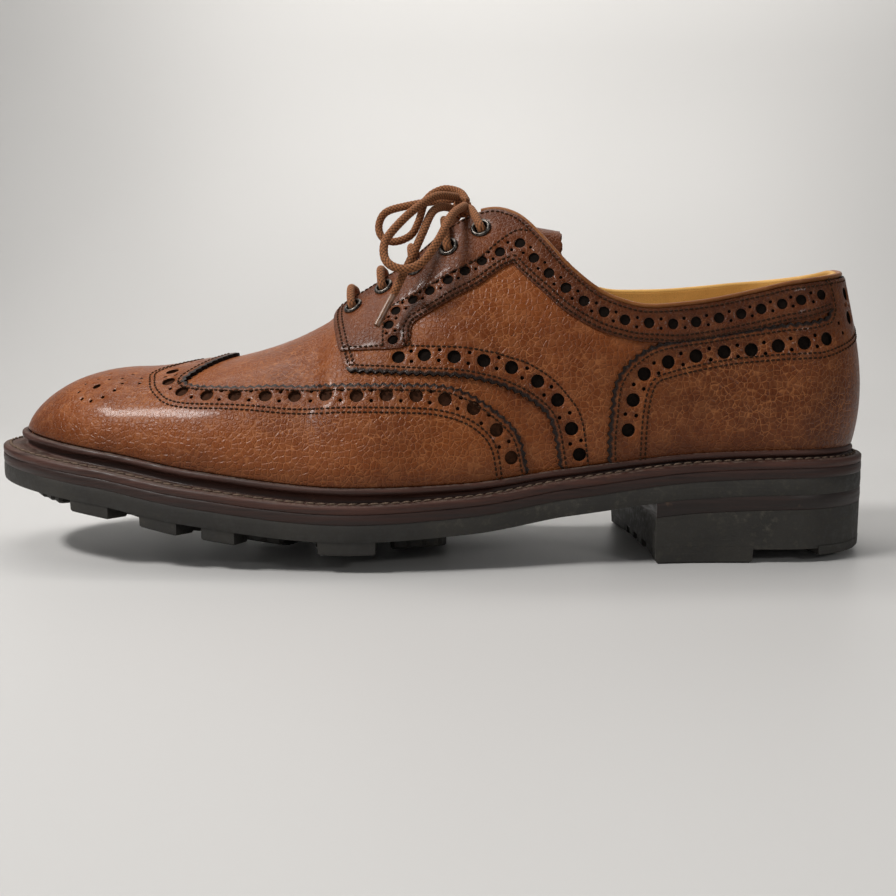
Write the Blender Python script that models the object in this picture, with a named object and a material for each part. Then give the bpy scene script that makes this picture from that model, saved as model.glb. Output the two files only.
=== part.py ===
"""Left wingtip derby shoe on a lugged rubber sole, built on the surface of its last.

Lengths are in millimetres and become metres when a mesh is made. The heel points to +X, the toe to -X,
the outer (lateral) side to -Y and the inner (medial) side to +Y. The sole stands on z = 0.
"""

import math

import bmesh
import bpy
import numpy as np
from mathutils.geometry import delaunay_2d_cdt

MM = 0.001

# The last in plan: the round heel seat, the straight middle and the round toe.
HEEL_CENTRE_X = 115.0
TOE_CENTRE_X = -105.0
HEEL_REACH = 30.0
TOE_REACH = 40.5
HEEL_ARC = 48.0
TOE_ARC = 56.0
MIDDLE = HEEL_CENTRE_X - TOE_CENTRE_X
HEEL_TO_TOE = HEEL_ARC + MIDDLE + TOE_ARC

# Material thicknesses of the upper.
WALL = 2.0
GAP = 0.3
PANEL = 0.9
PANEL_LIFT = 0.85
FACING_LIFT = PANEL_LIFT + PANEL + 0.7
FEATHER_GAP = 0.3

# The stack under the upper, from the welt down.
WELT_THICK = 2.6
MIDSOLE_THICK = 2.8
OUTSOLE_THICK = 5.2
LUG_DEPTH = 4.2
INSOLE_THICK = 4.6
INSOLE_INSET = 3.0
INSOLE_LIFT = 0.9
LIP_HEIGHT = 3.2
LIP_THICK = 2.3
LIP_CLEAR = 1.4
HEEL_LIFT_THICK = 4.5
HEEL_LUG_DEPTH = 4.6
BREAST_X = 72.0

# Lacing.
EYELET_OUTER = 3.3
EYELET_INNER = 2.0
EYELET_RISE = 0.9
LACE_DIAMETER = 3.2

LATERAL = -1.0
MEDIAL = 1.0

# Millimetres that a whole rib counts for when a panel is laid flat.
UP_SCALE = 70.0

# Feather line by station: place, centre offset, half width, deck height, welt width and crown of the tread.
PLAN = {
    "x": (-145.5, -105.0, -75.0, -27.0, 10.0, 42.0, 88.0, 115.0, 145.0),
    "mid_y": (5.0, 4.0, 2.5, 0.5, -3.0, -4.0, -0.5, 0.0, 0.0),
    "half_width": (32.0, 37.0, 41.5, 44.5, 37.5, 30.5, 29.5, 30.0, 30.0),
    "deck_z": (37.2, 31.2, 25.8, 21.2, 23.0, 27.5, 32.6, 33.6, 34.0),
    "welt": (9.0, 9.0, 9.0, 8.5, 8.0, 7.5, 7.0, 7.0, 7.0),
    "crown": (0.0, 3.5, 5.6, 6.4, 6.0, 2.5, 0.0, 0.0, 0.0),
}

# Top line by station: ridge of the vamp up to the throat, then facing edge and collar.
TOP = {
    "x": (-145.5, -124.0, -105.0, -70.0, -51.0, -38.0, -33.0, -10.0, 14.0, 21.0, 28.0, 36.0, 45.0, 58.0, 70.0,
          85.0, 105.0, 115.0, 145.0),
    "half_gap": (0.0, 0.0, 0.0, 0.0, 0.0, 0.0, 5.0, 7.0, 9.5, 11.0, 14.0, 19.0, 24.0, 28.0, 29.0,
                 28.8, 28.0, 27.4, 26.2),
    "lateral_z": (61.0, 62.2, 62.2, 67.4, 73.0, 79.2, 82.4, 97.0, 114.2, 116.4, 114.8, 108.0, 97.2, 86.8, 83.6,
                  84.4, 88.0, 90.2, 96.6),
    "medial_z": (61.0, 62.2, 62.2, 67.4, 73.0, 79.2, 82.4, 97.0, 114.2, 116.4, 115.2, 110.0, 101.5, 94.0, 91.6,
                 91.8, 93.2, 94.2, 96.6),
}

# Wall shape by station: outward lean and pull at the feather, fall and pull at the top.
WALL_SHAPE = {
    "x": (-145.5, -105.0, -70.0, -38.0, 0.0, 25.0, 45.0, 72.0, 115.0, 145.0),
    "lean_low": (3.0, 4.0, 6.0, 8.0, 10.0, 10.0, 11.0, 12.0, 14.0, 19.0),
    "pull_low": (0.56, 0.60, 0.58, 0.42, 0.36, 0.33, 0.34, 0.36, 0.36, 0.36),
    "fall_top": (0.0, 0.0, 3.0, 16.0, 42.0, 56.0, 68.0, 78.0, 80.0, 78.0),
    "pull_top": (0.56, 0.60, 0.60, 0.50, 0.45, 0.50, 0.50, 0.45, 0.55, 0.65),
}

# Panel edges in side view, as place along the shoe and height above the floor.
WING_EDGE = ((-70.0, 67.5), (-80.0, 64.0), (-90.0, 59.4), (-90.5, 57.0), (-84.0, 56.2), (-60.0, 56.6),
             (-34.0, 56.8), (-12.0, 56.0), (3.0, 53.0), (14.0, 47.0), (22.0, 39.0), (28.0, 30.0))
QUARTER_EDGE = ((-35.5, 81.2), (-33.0, 74.0), (-30.0, 62.6), (-12.0, 62.8), (5.0, 62.4), (18.0, 59.4), (29.0, 54.0),
                (37.0, 44.5), (41.5, 32.5))
FACING_EDGE = ((-16.0, 66.5), (-14.5, 73.0), (-12.0, 80.0), (0.0, 87.5), (14.0, 94.0), (27.5, 97.0), (36.0, 90.0),
               (48.0, 81.5), (60.0, 75.5), (75.0, 73.2), (95.0, 76.5), (115.0, 80.5))
COUNTER_EDGE = ((59.5, 36.5), (59.5, 47.0), (61.5, 57.0), (67.0, 64.5), (76.0, 68.5), (90.0, 71.2), (110.0, 74.0),
                (126.0, 77.0))
STRAP_HALF = 15.0

# Lugs along each edge of the tread and stars between them, as middle and length.
EDGE_LUGS = ((-110.5, 8.0), (-84.5, 12.0), (-65.5, 10.5), (-26.0, 17.0))
STAR_LUGS = ((-129.0, 10.0), (-104.0, 12.0), (-84.5, 10.0), (-58.0, 18.0), (-31.0, 13.0), (-4.5, 16.0))
HEEL_LUGS = ((88.5, 33.0), (134.0, 14.0))
HEEL_WEAR = 2.2

# Eyelets of each facing, as place along the shoe and height.
EYELETS = ((-26.0, 82.6), (-15.5, 89.2), (-4.5, 95.8), (6.5, 102.4), (17.0, 108.6))


def slopes(xs, ys):
    """Slopes of a smooth curve through a table that never overshoots its rows."""
    step = np.diff(xs)
    rise = np.diff(ys) / step
    slope = np.zeros(len(xs))
    for i in range(1, len(xs) - 1):
        if rise[i - 1] * rise[i] > 0:
            before, after = 2 * step[i] + step[i - 1], step[i] + 2 * step[i - 1]
            slope[i] = (before + after) / (before / rise[i - 1] + after / rise[i])
    slope[0], slope[-1] = rise[0], rise[-1]
    return slope


def column(table, name, x):
    """One column of a station table, read smoothly at the places x."""
    xs, ys = np.array(table["x"]), np.array(table[name])
    slope = slopes(xs, ys)
    x = np.clip(np.asarray(x, float), xs[0], xs[-1])
    i = np.clip(np.searchsorted(xs, x) - 1, 0, len(xs) - 2)
    width = xs[i + 1] - xs[i]
    u = (x - xs[i]) / width
    return (
        ys[i] * (1 + 2 * u) * (1 - u) ** 2
        + slope[i] * width * u * (1 - u) ** 2
        + ys[i + 1] * u * u * (3 - 2 * u)
        + slope[i + 1] * width * u * u * (u - 1)
    )


def station(along):
    """Table place, plan origin x, plan angle from the heel axis and toe closing share of a rib along the side."""
    along = np.asarray(along, float)
    heel = np.clip(along / HEEL_ARC, 0, 1)
    toe = np.clip((along - HEEL_ARC - MIDDLE) / TOE_ARC, 0, 1)
    turn = toe * math.pi / 2
    x_middle = HEEL_CENTRE_X - np.clip(along - HEEL_ARC, 0, MIDDLE)
    x_table = x_middle + HEEL_REACH * (1 - heel) - TOE_REACH * np.sin(turn)
    x_origin = x_middle - TOE_REACH * np.sin(turn)
    return x_table, x_origin, heel * math.pi / 2, np.cos(turn)


def along_at(x):
    """The rib at place x on the straight middle or the toe."""
    if x >= TOE_CENTRE_X:
        return HEEL_ARC + HEEL_CENTRE_X - x
    return HEEL_ARC + MIDDLE + TOE_ARC * math.asin(min(1.0, (TOE_CENTRE_X - x) / TOE_REACH)) / (math.pi / 2)


def feather_radius(along):
    """Distance of the feather line from the rib's plan origin."""
    x, _, angle, closing = station(along)
    half = column(PLAN, "half_width", x)
    round_heel = 1 / np.hypot(np.cos(angle) / HEEL_REACH, np.sin(angle) / half)
    return round_heel * closing


def rib_point(side, along, up, lift=0.0):
    """Point of the upper's outer surface: along the side from heel back to toe tip, up from feather 0 to top 1."""
    along, up = np.broadcast_arrays(np.asarray(along, float), np.asarray(up, float))
    x, x_origin, angle, closing = station(along)
    low_r = feather_radius(along)
    low_z = column(PLAN, "deck_z", x) + FEATHER_GAP
    high_r = column(TOP, "half_gap", x)
    full_z = column(TOP, "lateral_z" if side < 0 else "medial_z", x)
    high_z = low_z + (full_z - low_z) * closing
    lean = np.radians(column(WALL_SHAPE, "lean_low", x))
    fall = np.radians(column(WALL_SHAPE, "fall_top", x))
    pull_low = column(WALL_SHAPE, "pull_low", x) * (high_z - low_z)
    pull_top = column(WALL_SHAPE, "pull_top", x) * low_r
    radii = (low_r, low_r + pull_low * np.tan(lean), high_r + pull_top * np.cos(fall), high_r)
    heights = (low_z, low_z + pull_low, high_z - pull_top * np.sin(fall), high_z)
    weights = ((1 - up) ** 3, 3 * up * (1 - up) ** 2, 3 * up * up * (1 - up), up**3)
    r = sum(w * v for w, v in zip(weights, radii))
    z = sum(w * v for w, v in zip(weights, heights))
    point = np.stack([x_origin + r * np.cos(angle), column(PLAN, "mid_y", x) + side * r * np.sin(angle), z], -1)
    if np.any(lift):
        point = point + np.asarray(lift)[..., None] * rib_normal(side, along, up)
    return point


def rib_normal(side, along, up):
    """Outward unit normal of the upper."""
    step_along, step_up = 0.05, 0.0005
    a0, a1 = np.clip(along - step_along, 0.0, None), np.clip(along + step_along, None, HEEL_TO_TOE - 0.3)
    a0 = np.minimum(a0, a1 - step_along)
    u0, u1 = np.clip(up - step_up, 0, 1), np.clip(up + step_up, 0, 1)
    d_along = rib_point(side, a1, up) - rib_point(side, a0, up)
    d_up = rib_point(side, along, u1) - rib_point(side, along, u0)
    normal = np.cross(d_along, d_up) * side
    return normal / np.maximum(np.linalg.norm(normal, axis=-1, keepdims=True), 1e-12)


def up_at(side, along, z):
    """How far up its rib the wall reaches height z."""
    low, high = 0.0, 1.0
    for _ in range(30):
        middle = (low + high) / 2
        if rib_point(side, along, middle)[2] < z:
            low = middle
        else:
            high = middle
    return (low + high) / 2


def lip_top(side, along):
    """How far up its rib the wall clears the welt's lip."""
    x = station(along)[0]
    return up_at(side, along, float(column(PLAN, "deck_z", x)) + LIP_HEIGHT + LIP_CLEAR)


def outline_point(side, along, out):
    """Plan point of the feather line moved outwards by a distance."""
    step = 0.02
    along = np.clip(np.asarray(along, float), step, HEEL_TO_TOE - step)
    before, here, after = (rib_point(side, along + d, 0.0)[..., :2] for d in (-step, 0.0, step))
    tangent = after - before
    outward = np.stack([tangent[..., 1], -tangent[..., 0]], -1) * side
    outward = outward / np.linalg.norm(outward, axis=-1, keepdims=True)
    return here + outward * np.asarray(out)[..., None]


def sole_edge(side, along):
    """Plan point of the sole's edge: the feather line moved out by the welt."""
    return outline_point(side, along, column(PLAN, "welt", station(along)[0]))


def material(name, colour, roughness, metallic=0.0):
    made = bpy.data.materials.new(name)
    made.use_nodes = True
    shader = made.node_tree.nodes["Principled BSDF"]
    shader.inputs["Base Color"].default_value = (*colour, 1.0)
    shader.inputs["Roughness"].default_value = roughness
    shader.inputs["Metallic"].default_value = metallic
    return made


def add_object(name, mesh, finish):
    """Links a mesh, scaled to metres, under the shoe's own empty."""
    made = bpy.data.objects.new(name, mesh)
    bpy.context.scene.collection.objects.link(made)
    made.parent = shoe
    mesh.materials.append(finish)
    return made


def add_mesh(name, points, faces, finish):
    """A mesh from points in millimetres, with doubles merged and its faces turned outwards."""
    mesh = bpy.data.meshes.new(name)
    mesh.from_pydata([tuple(float(c) * MM for c in p) for p in points], [], faces)
    work = bmesh.new()
    work.from_mesh(mesh)
    bmesh.ops.remove_doubles(work, verts=work.verts, dist=0.02 * MM)
    bmesh.ops.dissolve_degenerate(work, edges=work.edges, dist=0.005 * MM)
    bmesh.ops.recalc_face_normals(work, faces=work.faces)
    if work.calc_volume(signed=True) < 0:
        bmesh.ops.reverse_faces(work, faces=work.faces)
    work.to_mesh(mesh)
    work.free()
    mesh.shade_smooth()
    mesh.set_sharp_from_angle(angle=math.radians(35))
    return add_object(name, mesh, finish)


def spread(first, last, step):
    """Even places from first to last, about a step apart."""
    return np.linspace(first, last, max(2, round(abs(last - first) / step) + 1))


def rib_places():
    """Ribs from heel back to toe tip, closer where the plan turns and at the throat."""
    throat = along_at(-38.0)
    rear = along_at(16.0)
    front = along_at(47.0)
    parts = [spread(0, HEEL_ARC, 7), spread(HEEL_ARC, front, 11), spread(front, rear, 7), spread(rear, throat, 11),
             spread(throat, along_at(TOE_CENTRE_X), 12), spread(along_at(TOE_CENTRE_X), HEEL_TO_TOE, 6)]
    return np.unique(np.round(np.concatenate(parts), 4))


def upper_shell(finish):
    """The upper: ribs lofted from feather to top line, given its wall inwards."""
    places = rib_places()
    ups = 1 - (1 - np.linspace(0, 1, 9)) ** 1.15
    points, faces = [], []
    for side in (LATERAL, MEDIAL):
        base = len(points)
        grid = rib_point(side, places[:, None], ups[None, :])
        points.extend(grid.reshape(-1, 3))
        for i in range(len(places) - 1):
            for j in range(len(ups) - 1):
                a = base + i * len(ups) + j
                faces.append((a, a + 1, a + len(ups) + 1, a + len(ups)))
    made = add_mesh("upper", points, faces, finish)
    outward_if_not(made)
    wall = made.modifiers.new("wall", "SOLIDIFY")
    wall.thickness = WALL * MM
    wall.offset = -1.0
    return made


def outward_if_not(made):
    """Turns an open shell's faces so that they point away from its inside."""
    mesh = made.data
    inside = np.array([0.0, 0.0, 55.0]) * MM
    facing = sum((np.array(f.center) - inside) @ np.array(f.normal) * f.area for f in mesh.polygons)
    if facing < 0:
        mesh.flip_normals()


def resample(points, step):
    """Points about a step apart along a line, its ends and corners kept as they are."""
    points = [np.array(p, float) for p in points]
    out = [points[0]]
    for a, b in zip(points, points[1:]):
        count = max(1, round(np.linalg.norm(b - a) / step))
        out.extend(a + (b - a) * k / count for k in range(1, count + 1))
    return out


def smooth_line(points, step):
    """A smooth line through a few hand-placed points, cut about a step apart."""
    points = [np.array(p, float) for p in points]
    padded = [2 * points[0] - points[1], *points, 2 * points[-1] - points[-2]]
    out = [points[0]]
    for a, b, c, d in zip(padded, padded[1:], padded[2:], padded[3:]):
        count = max(1, round(np.linalg.norm(c - b) / step))
        for k in range(1, count + 1):
            u = k / count
            out.append(0.5 * (2 * b + (c - a) * u + (2 * a - 5 * b + 4 * c - d) * u**2 + (3 * b - a - 3 * c + d) * u**3))
    return out


def side_line(side, edge, step=6.0):
    """A panel edge of the side view as rib places and heights up the wall."""
    line = smooth_line(edge, step)
    return [(along_at(p[0]), up_at(side, along_at(p[0]), p[1])) for p in line]


def in_polygon(points, polygon):
    """Which points lie inside a closed polygon."""
    inside = np.zeros(len(points), bool)
    x, y = points[:, 0], points[:, 1]
    for (x0, y0), (x1, y1) in zip(polygon, np.roll(polygon, -1, axis=0)):
        crosses = (y0 > y) != (y1 > y)
        inside ^= crosses & (x < (x1 - x0) * (y - y0) / np.where(y1 == y0, 1e-12, y1 - y0) + x0)
    return inside


def panel(name, outline, chart, finish, lift, holes=(), cell=11.0):
    """A leather panel over the upper: a flat outline cut in the upper's own coordinates and raised on its surface."""
    flat_edge = [(p[0], p[1] * UP_SCALE) for p in (*outline, outline[0])]
    loops = [np.array(resample(flat_edge, cell * 0.9)[:-1])]
    loops.extend(np.array([(p[0], p[1] * UP_SCALE) for p in loop]) for loop in holes)
    low, high = loops[0].min(0), loops[0].max(0)
    across, upward = (np.arange(low[k] + cell / 2, high[k], cell) for k in (0, 1))
    inner = np.stack(np.meshgrid(across, upward), -1).reshape(-1, 2)
    inner = inner[in_polygon(inner, loops[0])]
    for loop in loops:
        near = np.linalg.norm(inner[:, None] - loop[None], axis=-1).min(1)
        inner = inner[near > cell * 0.45]
    flat, edges = [], []
    for loop in loops:
        start = len(flat)
        flat.extend(map(tuple, loop))
        edges.extend((start + i, start + (i + 1) % len(loop)) for i in range(len(loop)))
    flat.extend(map(tuple, inner))
    points2, _, tris, *_ = delaunay_2d_cdt(flat, edges, [], 0, 1e-6)
    points2 = np.array([tuple(p) for p in points2])
    middles = np.array([points2[list(t)].mean(0) for t in tris])
    keep = in_polygon(middles, loops[0])
    for loop in loops[1:]:
        keep &= ~in_polygon(middles, loop)
    tris = [t for t, k in zip(tris, keep) if k]
    up = points2[:, 1] / UP_SCALE
    lower, higher = (chart(points2[:, 0], up, h) for h in (lift, lift + PANEL))
    count = len(points2)
    faces = [tuple(i + count for i in t) for t in tris] + [tuple(reversed(t)) for t in tris]
    sides = {}
    for t in tris:
        for a, b in zip(t, (*t[1:], t[0])):
            sides[(a, b)] = sides.get((a, b), 0) + 1
    for a, b in sides:
        if (b, a) not in sides:
            faces.append((a, b, b + count, a + count))
    return add_mesh(name, [*lower, *higher], faces, finish)


def one_side(side):
    """Chart of one side of the shoe."""
    return lambda along, up, lift: rib_point(side, along, up, np.full(len(up), lift))


def over_toe(along, over, lift):
    """Chart of the forepart, unrolled over the ridge: lateral wall 0 to 1, medial wall 1 to 2."""
    lateral = rib_point(LATERAL, along, np.minimum(over, 1.0), np.full(len(over), lift))
    medial = rib_point(MEDIAL, along, np.minimum(2.0 - over, 1.0), np.full(len(over), lift))
    ridge = (lateral + medial) / 2
    out = np.where((over < 1)[:, None], lateral, medial)
    return np.where((np.abs(over - 1) < 1e-6)[:, None], ridge, out)


def round_heel(along, up, lift):
    """Chart of the back part: lateral side below 0, medial side above 0."""
    lateral = rib_point(LATERAL, np.abs(along), up, np.full(len(up), lift))
    medial = rib_point(MEDIAL, np.abs(along), up, np.full(len(up), lift))
    out = np.where((along < 0)[:, None], lateral, medial)
    return np.where((np.abs(along) < 1e-6)[:, None], (lateral + medial) / 2, out)


def wing_cap(finish):
    """The toe cap with its wings: from the peak on the ridge, round the front and back along both sides."""
    lateral = side_line(LATERAL, WING_EDGE, 8.0)
    medial = side_line(MEDIAL, WING_EDGE, 8.0)
    lateral[0] = (lateral[0][0], 1.0)
    tip = next(a for a in np.arange(HEEL_TO_TOE, 0, -0.2) if lip_top(LATERAL, a) < 0.9)
    feather = spread(lateral[-1][0], tip, 8)
    low = [(a, lip_top(LATERAL, a)) for a in feather]
    high = [(a, 2 - lip_top(MEDIAL, a)) for a in feather[::-1]]
    outline = [*low, (tip, 1.0), *high[:-1], *((a, 2 - u) for a, u in reversed(medial[1:])), *lateral[:-1]]
    return panel("wing_cap", outline, over_toe, finish, PANEL_LIFT)


def quarter(name, side, finish):
    """The quarter panel, from the front edge of its facing back under the counter, lapped over the vamp."""
    edge = side_line(side, QUARTER_EDGE)
    edge[0] = (edge[0][0], 0.985)
    edge[-1] = (edge[-1][0], lip_top(side, edge[-1][0]))
    rear = [(a + 2 * GAP, u + 2 * GAP / UP_SCALE) for a, u in counter_line(side)]
    rear[0] = (rear[0][0], lip_top(side, rear[0][0]))
    rear[-1] = (rear[-1][0], 0.985)
    top = [(a, 0.985) for a in spread(edge[0][0], rear[-1][0], 6)[:-1]]
    low = [(a, lip_top(side, a)) for a in spread(rear[0][0], edge[-1][0], 7)[1:-1]]
    outline = [*top, *reversed(rear), *low, *reversed(edge[1:])]
    return panel(name, outline, one_side(side), finish, PANEL_LIFT, cell=11.5)


def facing(name, side, finish):
    """The facing and collar band, laid over the quarter along throat and collar, with its eyelet holes."""
    edge = side_line(side, FACING_EDGE)
    front = along_at(-33.5)
    quarter_low = [up_at(side, along_at(x), z) for x, z in ((-31.5, 66.5), (-24.0, 66.5))]
    back = STRAP_HALF + 3.0
    edge.append((back, up_at(side, back, FACING_EDGE[-1][1] + 5.0)))
    top = [(a, 0.985) for a in spread(front, back, 6)]
    low = [(along_at(-24.0), quarter_low[1]), (along_at(-31.5), quarter_low[0])]
    outline = [*top, *reversed(edge), *low]
    holes = [ring_on(side, x, z, EYELET_INNER, 8) for x, z in EYELETS]
    return panel(name, outline, one_side(side), finish, FACING_LIFT, holes, cell=11.0)


def counter_line(side):
    """Front and top edge of the counter on one side, from the welt to the strap's top."""
    shoulder = up_at(side, 20.0, COUNTER_EDGE[-1][1])
    strap = [(20.0, shoulder), (STRAP_HALF, shoulder + 0.1), (STRAP_HALF - 1, 0.985)]
    return [*side_line(side, COUNTER_EDGE[:-1], 8.0), *strap]


def counter(finish):
    """The heel counter: round the back from side to side, rising as a strap to the collar."""
    lateral = [(-a, u) for a, u in counter_line(LATERAL)]
    medial = counter_line(MEDIAL)
    over = [*lateral, (0.0, 0.985), *reversed(medial)]
    first, last = over[0][0], over[-1][0]
    low = [(a, lip_top(LATERAL if a < 0 else MEDIAL, abs(a))) for a in spread(last, first, 6.5)]
    over[0], over[-1] = low[-1], low[0]
    return panel("counter", [*over, *low[1:-1]], round_heel, finish, PANEL_LIFT, cell=10.0)


def ring_on(side, x, z, radius, count):
    """A ring of the given real radius round a point of the wall, in the upper's own coordinates."""
    along = along_at(x)
    up = up_at(side, along, z)
    here = rib_point(side, along, up)
    d_along = (rib_point(side, along + 0.1, up) - here) / 0.1
    d_up = (rib_point(side, along, up + 0.001) - here) / 0.001
    metric = np.array([[d_along @ d_along, d_along @ d_up], [d_along @ d_up, d_up @ d_up]])
    frame_x = d_along / np.linalg.norm(d_along)
    frame_y = d_up - (d_up @ frame_x) * frame_x
    frame_y /= np.linalg.norm(frame_y)
    ring = []
    for k in range(count):
        turn = 2 * math.pi * k / count
        reach = radius * (math.cos(turn) * frame_x + math.sin(turn) * frame_y)
        da, du = np.linalg.solve(metric, np.array([reach @ d_along, reach @ d_up]))
        ring.append((along + da, up + du))
    return ring


def eyelet_seat(side, x, z):
    """Middle, normal and two directions of an eyelet's seat on the facing's outer face."""
    along = along_at(x)
    up = up_at(side, along, z)
    lift = FACING_LIFT + PANEL
    centre = rib_point(side, along, up, np.array(lift))
    normal = rib_normal(side, along, up)
    first = rib_point(side, along + 0.1, up) - rib_point(side, along, up)
    first = first - (first @ normal) * normal
    first /= np.linalg.norm(first)
    return centre, normal, first, np.cross(normal, first)


def eyelet(name, side, x, z, finish, segments=8):
    """A flat metal ring on the facing."""
    centre, normal, first, second = eyelet_seat(side, x, z)
    profile = ((EYELET_INNER, GAP), (EYELET_OUTER, GAP), (EYELET_OUTER - 0.5, EYELET_RISE), (EYELET_INNER, EYELET_RISE))
    points, faces = [], []
    for k in range(segments):
        turn = 2 * math.pi * k / segments
        out = math.cos(turn) * first + math.sin(turn) * second
        points.extend(centre + out * r + normal * h for r, h in profile)
        for j in range(4):
            a, b = k * 4 + j, k * 4 + (j + 1) % 4
            c, d = (b + 4) % (4 * segments), (a + 4) % (4 * segments)
            faces.append((a, b, c, d))
    return add_mesh(name, points, faces, finish)


def tongue(finish):
    """The tongue: a plate under the throat that follows the inside of the facings and stands out behind them."""
    rows = []
    clear = WALL + 2.5 * GAP
    for x in (-27.0, -16.0, -5.0, 6.0, 15.0, 22.0, 28.0, 34.0, 40.0):
        along = along_at(min(x, 22.0))
        past = max(0.0, x - 22.0)
        row = []
        for side, ups in ((LATERAL, (0.66, 0.76, 0.86, 0.94, 1.0)), (MEDIAL, (1.0, 0.94, 0.86, 0.76, 0.66))):
            row.extend(rib_point(side, along, u, np.array(-clear)) for u in ups)
        inner = (row[4] + row[5]) / 2
        row.insert(5, inner + np.array([0.0, 0.0, 1.2]))
        shift = np.array([past, 0.0, past * -0.12])
        narrow = 1 - 0.016 * past
        rows.append([np.array([p[0], inner[1] + (p[1] - inner[1]) * narrow, p[2]]) + shift for p in row])
    return plate_between("tongue", rows, [[p - np.array([0.0, 0.0, WALL]) for p in r] for r in rows], finish)


def plate_between(name, tops, bottoms, finish, extrude=()):
    """A closed plate between two grids of the same rows. Cells named in extrude grow down to given heights."""
    rows, count = len(tops), len(tops[0])
    points = [p for row in tops for p in row] + [p for row in bottoms for p in row]
    half = rows * count
    faces = []
    grow = dict(extrude)
    for i in range(rows - 1):
        for j in range(count - 1):
            a = i * count + j
            faces.append((a, a + 1, a + count + 1, a + count))
            if (i, j) not in grow:
                faces.append((half + a, half + a + count, half + a + count + 1, half + a + 1))
    rim = [(i, 0) for i in range(rows)] + [(rows - 1, j) for j in range(1, count)]
    rim += [(i, count - 1) for i in range(rows - 2, -1, -1)] + [(0, j) for j in range(count - 2, 0, -1)]
    for (i, j), (k, m) in zip(rim, rim[1:] + rim[:1]):
        a, b = i * count + j, k * count + m
        faces.append((a, b, half + b, half + a))
    for cells in lug_groups(grow):
        add_lug(points, faces, half, count, cells, grow)
    return add_mesh(name, points, faces, finish)


def lug_groups(cells):
    """Neighbouring cells of the tread gathered into whole lugs."""
    left, groups = set(cells), []
    while left:
        stack, group = [left.pop()], set()
        while stack:
            i, j = stack.pop()
            group.add((i, j))
            for near in ((i + 1, j), (i - 1, j), (i, j + 1), (i, j - 1)):
                if near in left:
                    left.remove(near)
                    stack.append(near)
        groups.append(group)
    return groups


def add_lug(points, faces, half, count, cells, drop):
    """One lug: its cells lowered by the lug's depth and cut flat at the floor, with walls round them."""
    corner = {}
    for i, j in cells:
        for k, m in ((i, j), (i + 1, j), (i, j + 1), (i + 1, j + 1)):
            if (k, m) not in corner:
                p = points[half + k * count + m]
                corner[(k, m)] = len(points)
                points.append(np.array([p[0], p[1], max(0.0, p[2] - drop[(i, j)])]))
    for i, j in cells:
        faces.append((corner[(i, j)], corner[(i + 1, j)], corner[(i + 1, j + 1)], corner[(i, j + 1)]))
        for near, a, b in (((i - 1, j), (i, j), (i, j + 1)), ((i + 1, j), (i + 1, j + 1), (i + 1, j)),
                           ((i, j - 1), (i + 1, j), (i, j)), ((i, j + 1), (i, j + 1), (i + 1, j + 1))):
            if near not in cells:
                low_a, low_b = (half + p[0] * count + p[1] for p in (a, b))
                faces.append((low_a, low_b, corner[b], corner[a]))


def sole_height(along, across, depth):
    """Height of the stack at a depth under the deck; its crown hangs lower between the edges."""
    x = station(along)[0]
    crown = column(PLAN, "crown", x) * (1 - across**2) ** 2
    return column(PLAN, "deck_z", x) - depth - crown


def sole_rows(places, across, depth, inset=0.0):
    """Rows of points across the sole at one depth of the stack."""
    rows = []
    for along in places:
        left, right = (sole_edge(side, along) for side in (LATERAL, MEDIAL))
        width = max(np.linalg.norm(right - left), 1e-6)
        share = max(0.0, 1 - 2 * inset / width)
        middle = (left + right) / 2
        rows.append([np.array([*(middle + (right - left) / 2 * v * share), float(sole_height(along, v, depth))])
                     for v in across])
    return rows


def sole_places(extra=(), first=0.0, last=HEEL_TO_TOE, step=15.0):
    """Ribs used across the sole, with given places among them."""
    heel, toe = HEEL_ARC, along_at(TOE_CENTRE_X)
    base = np.concatenate([spread(0, heel, 7), spread(heel, toe, step), spread(toe, HEEL_TO_TOE, 6.5)])
    wanted = [along_at(x) for x in extra]
    base = [b for b in base if first <= b <= last and all(abs(b - w) > 5.5 for w in wanted)]
    return np.unique(np.round([first, *base, *wanted, last], 4))


def midsole(finish):
    across = np.array((-1.0, -0.64, -0.1, 0.1, 0.64, 1.0))
    places = sole_places()
    top = WELT_THICK + GAP
    tops, bottoms = (sole_rows(places, across, d) for d in (top, top + MIDSOLE_THICK))
    return plate_between("midsole", tops, bottoms, finish)


OUTSOLE_TOP = WELT_THICK + MIDSOLE_THICK + 2 * GAP


def outsole(finish):
    """The rubber sole: a plate with edge lugs down both sides and stars between them."""
    across = np.array((-1.0, -0.64, -0.5, -0.1, 0.1, 0.5, 0.64, 1.0))
    lug_ends = [m + s * n / 2 for m, n in (*EDGE_LUGS, *STAR_LUGS) for s in (-1, 1)]
    places = sole_places(sorted(set(lug_ends)))
    grow = {}
    for i in range(len(places) - 1):
        x = float(station((places[i] + places[i + 1]) / 2)[0])
        for lugs, cells in ((EDGE_LUGS, (0, 6)), (STAR_LUGS, (2, 4))):
            if any(abs(x - m) < n / 2 for m, n in lugs):
                grow.update({(i, j): LUG_DEPTH for j in cells})
    tops, bottoms = (sole_rows(places, across, d) for d in (OUTSOLE_TOP, OUTSOLE_TOP + OUTSOLE_THICK))
    return plate_between("outsole", tops, bottoms, finish, grow)


HEEL_TOP = OUTSOLE_TOP + OUTSOLE_THICK + GAP


def heel_lift(finish):
    """The leather lift between outsole and heel block."""
    across = np.array((-1.0, 0.0, 1.0))
    places = sole_places(last=along_at(BREAST_X))
    tops, bottoms = (sole_rows(places, across, d) for d in (HEEL_TOP, HEEL_TOP + HEEL_LIFT_THICK))
    return plate_between("heel_lift", tops, bottoms, finish)


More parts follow.
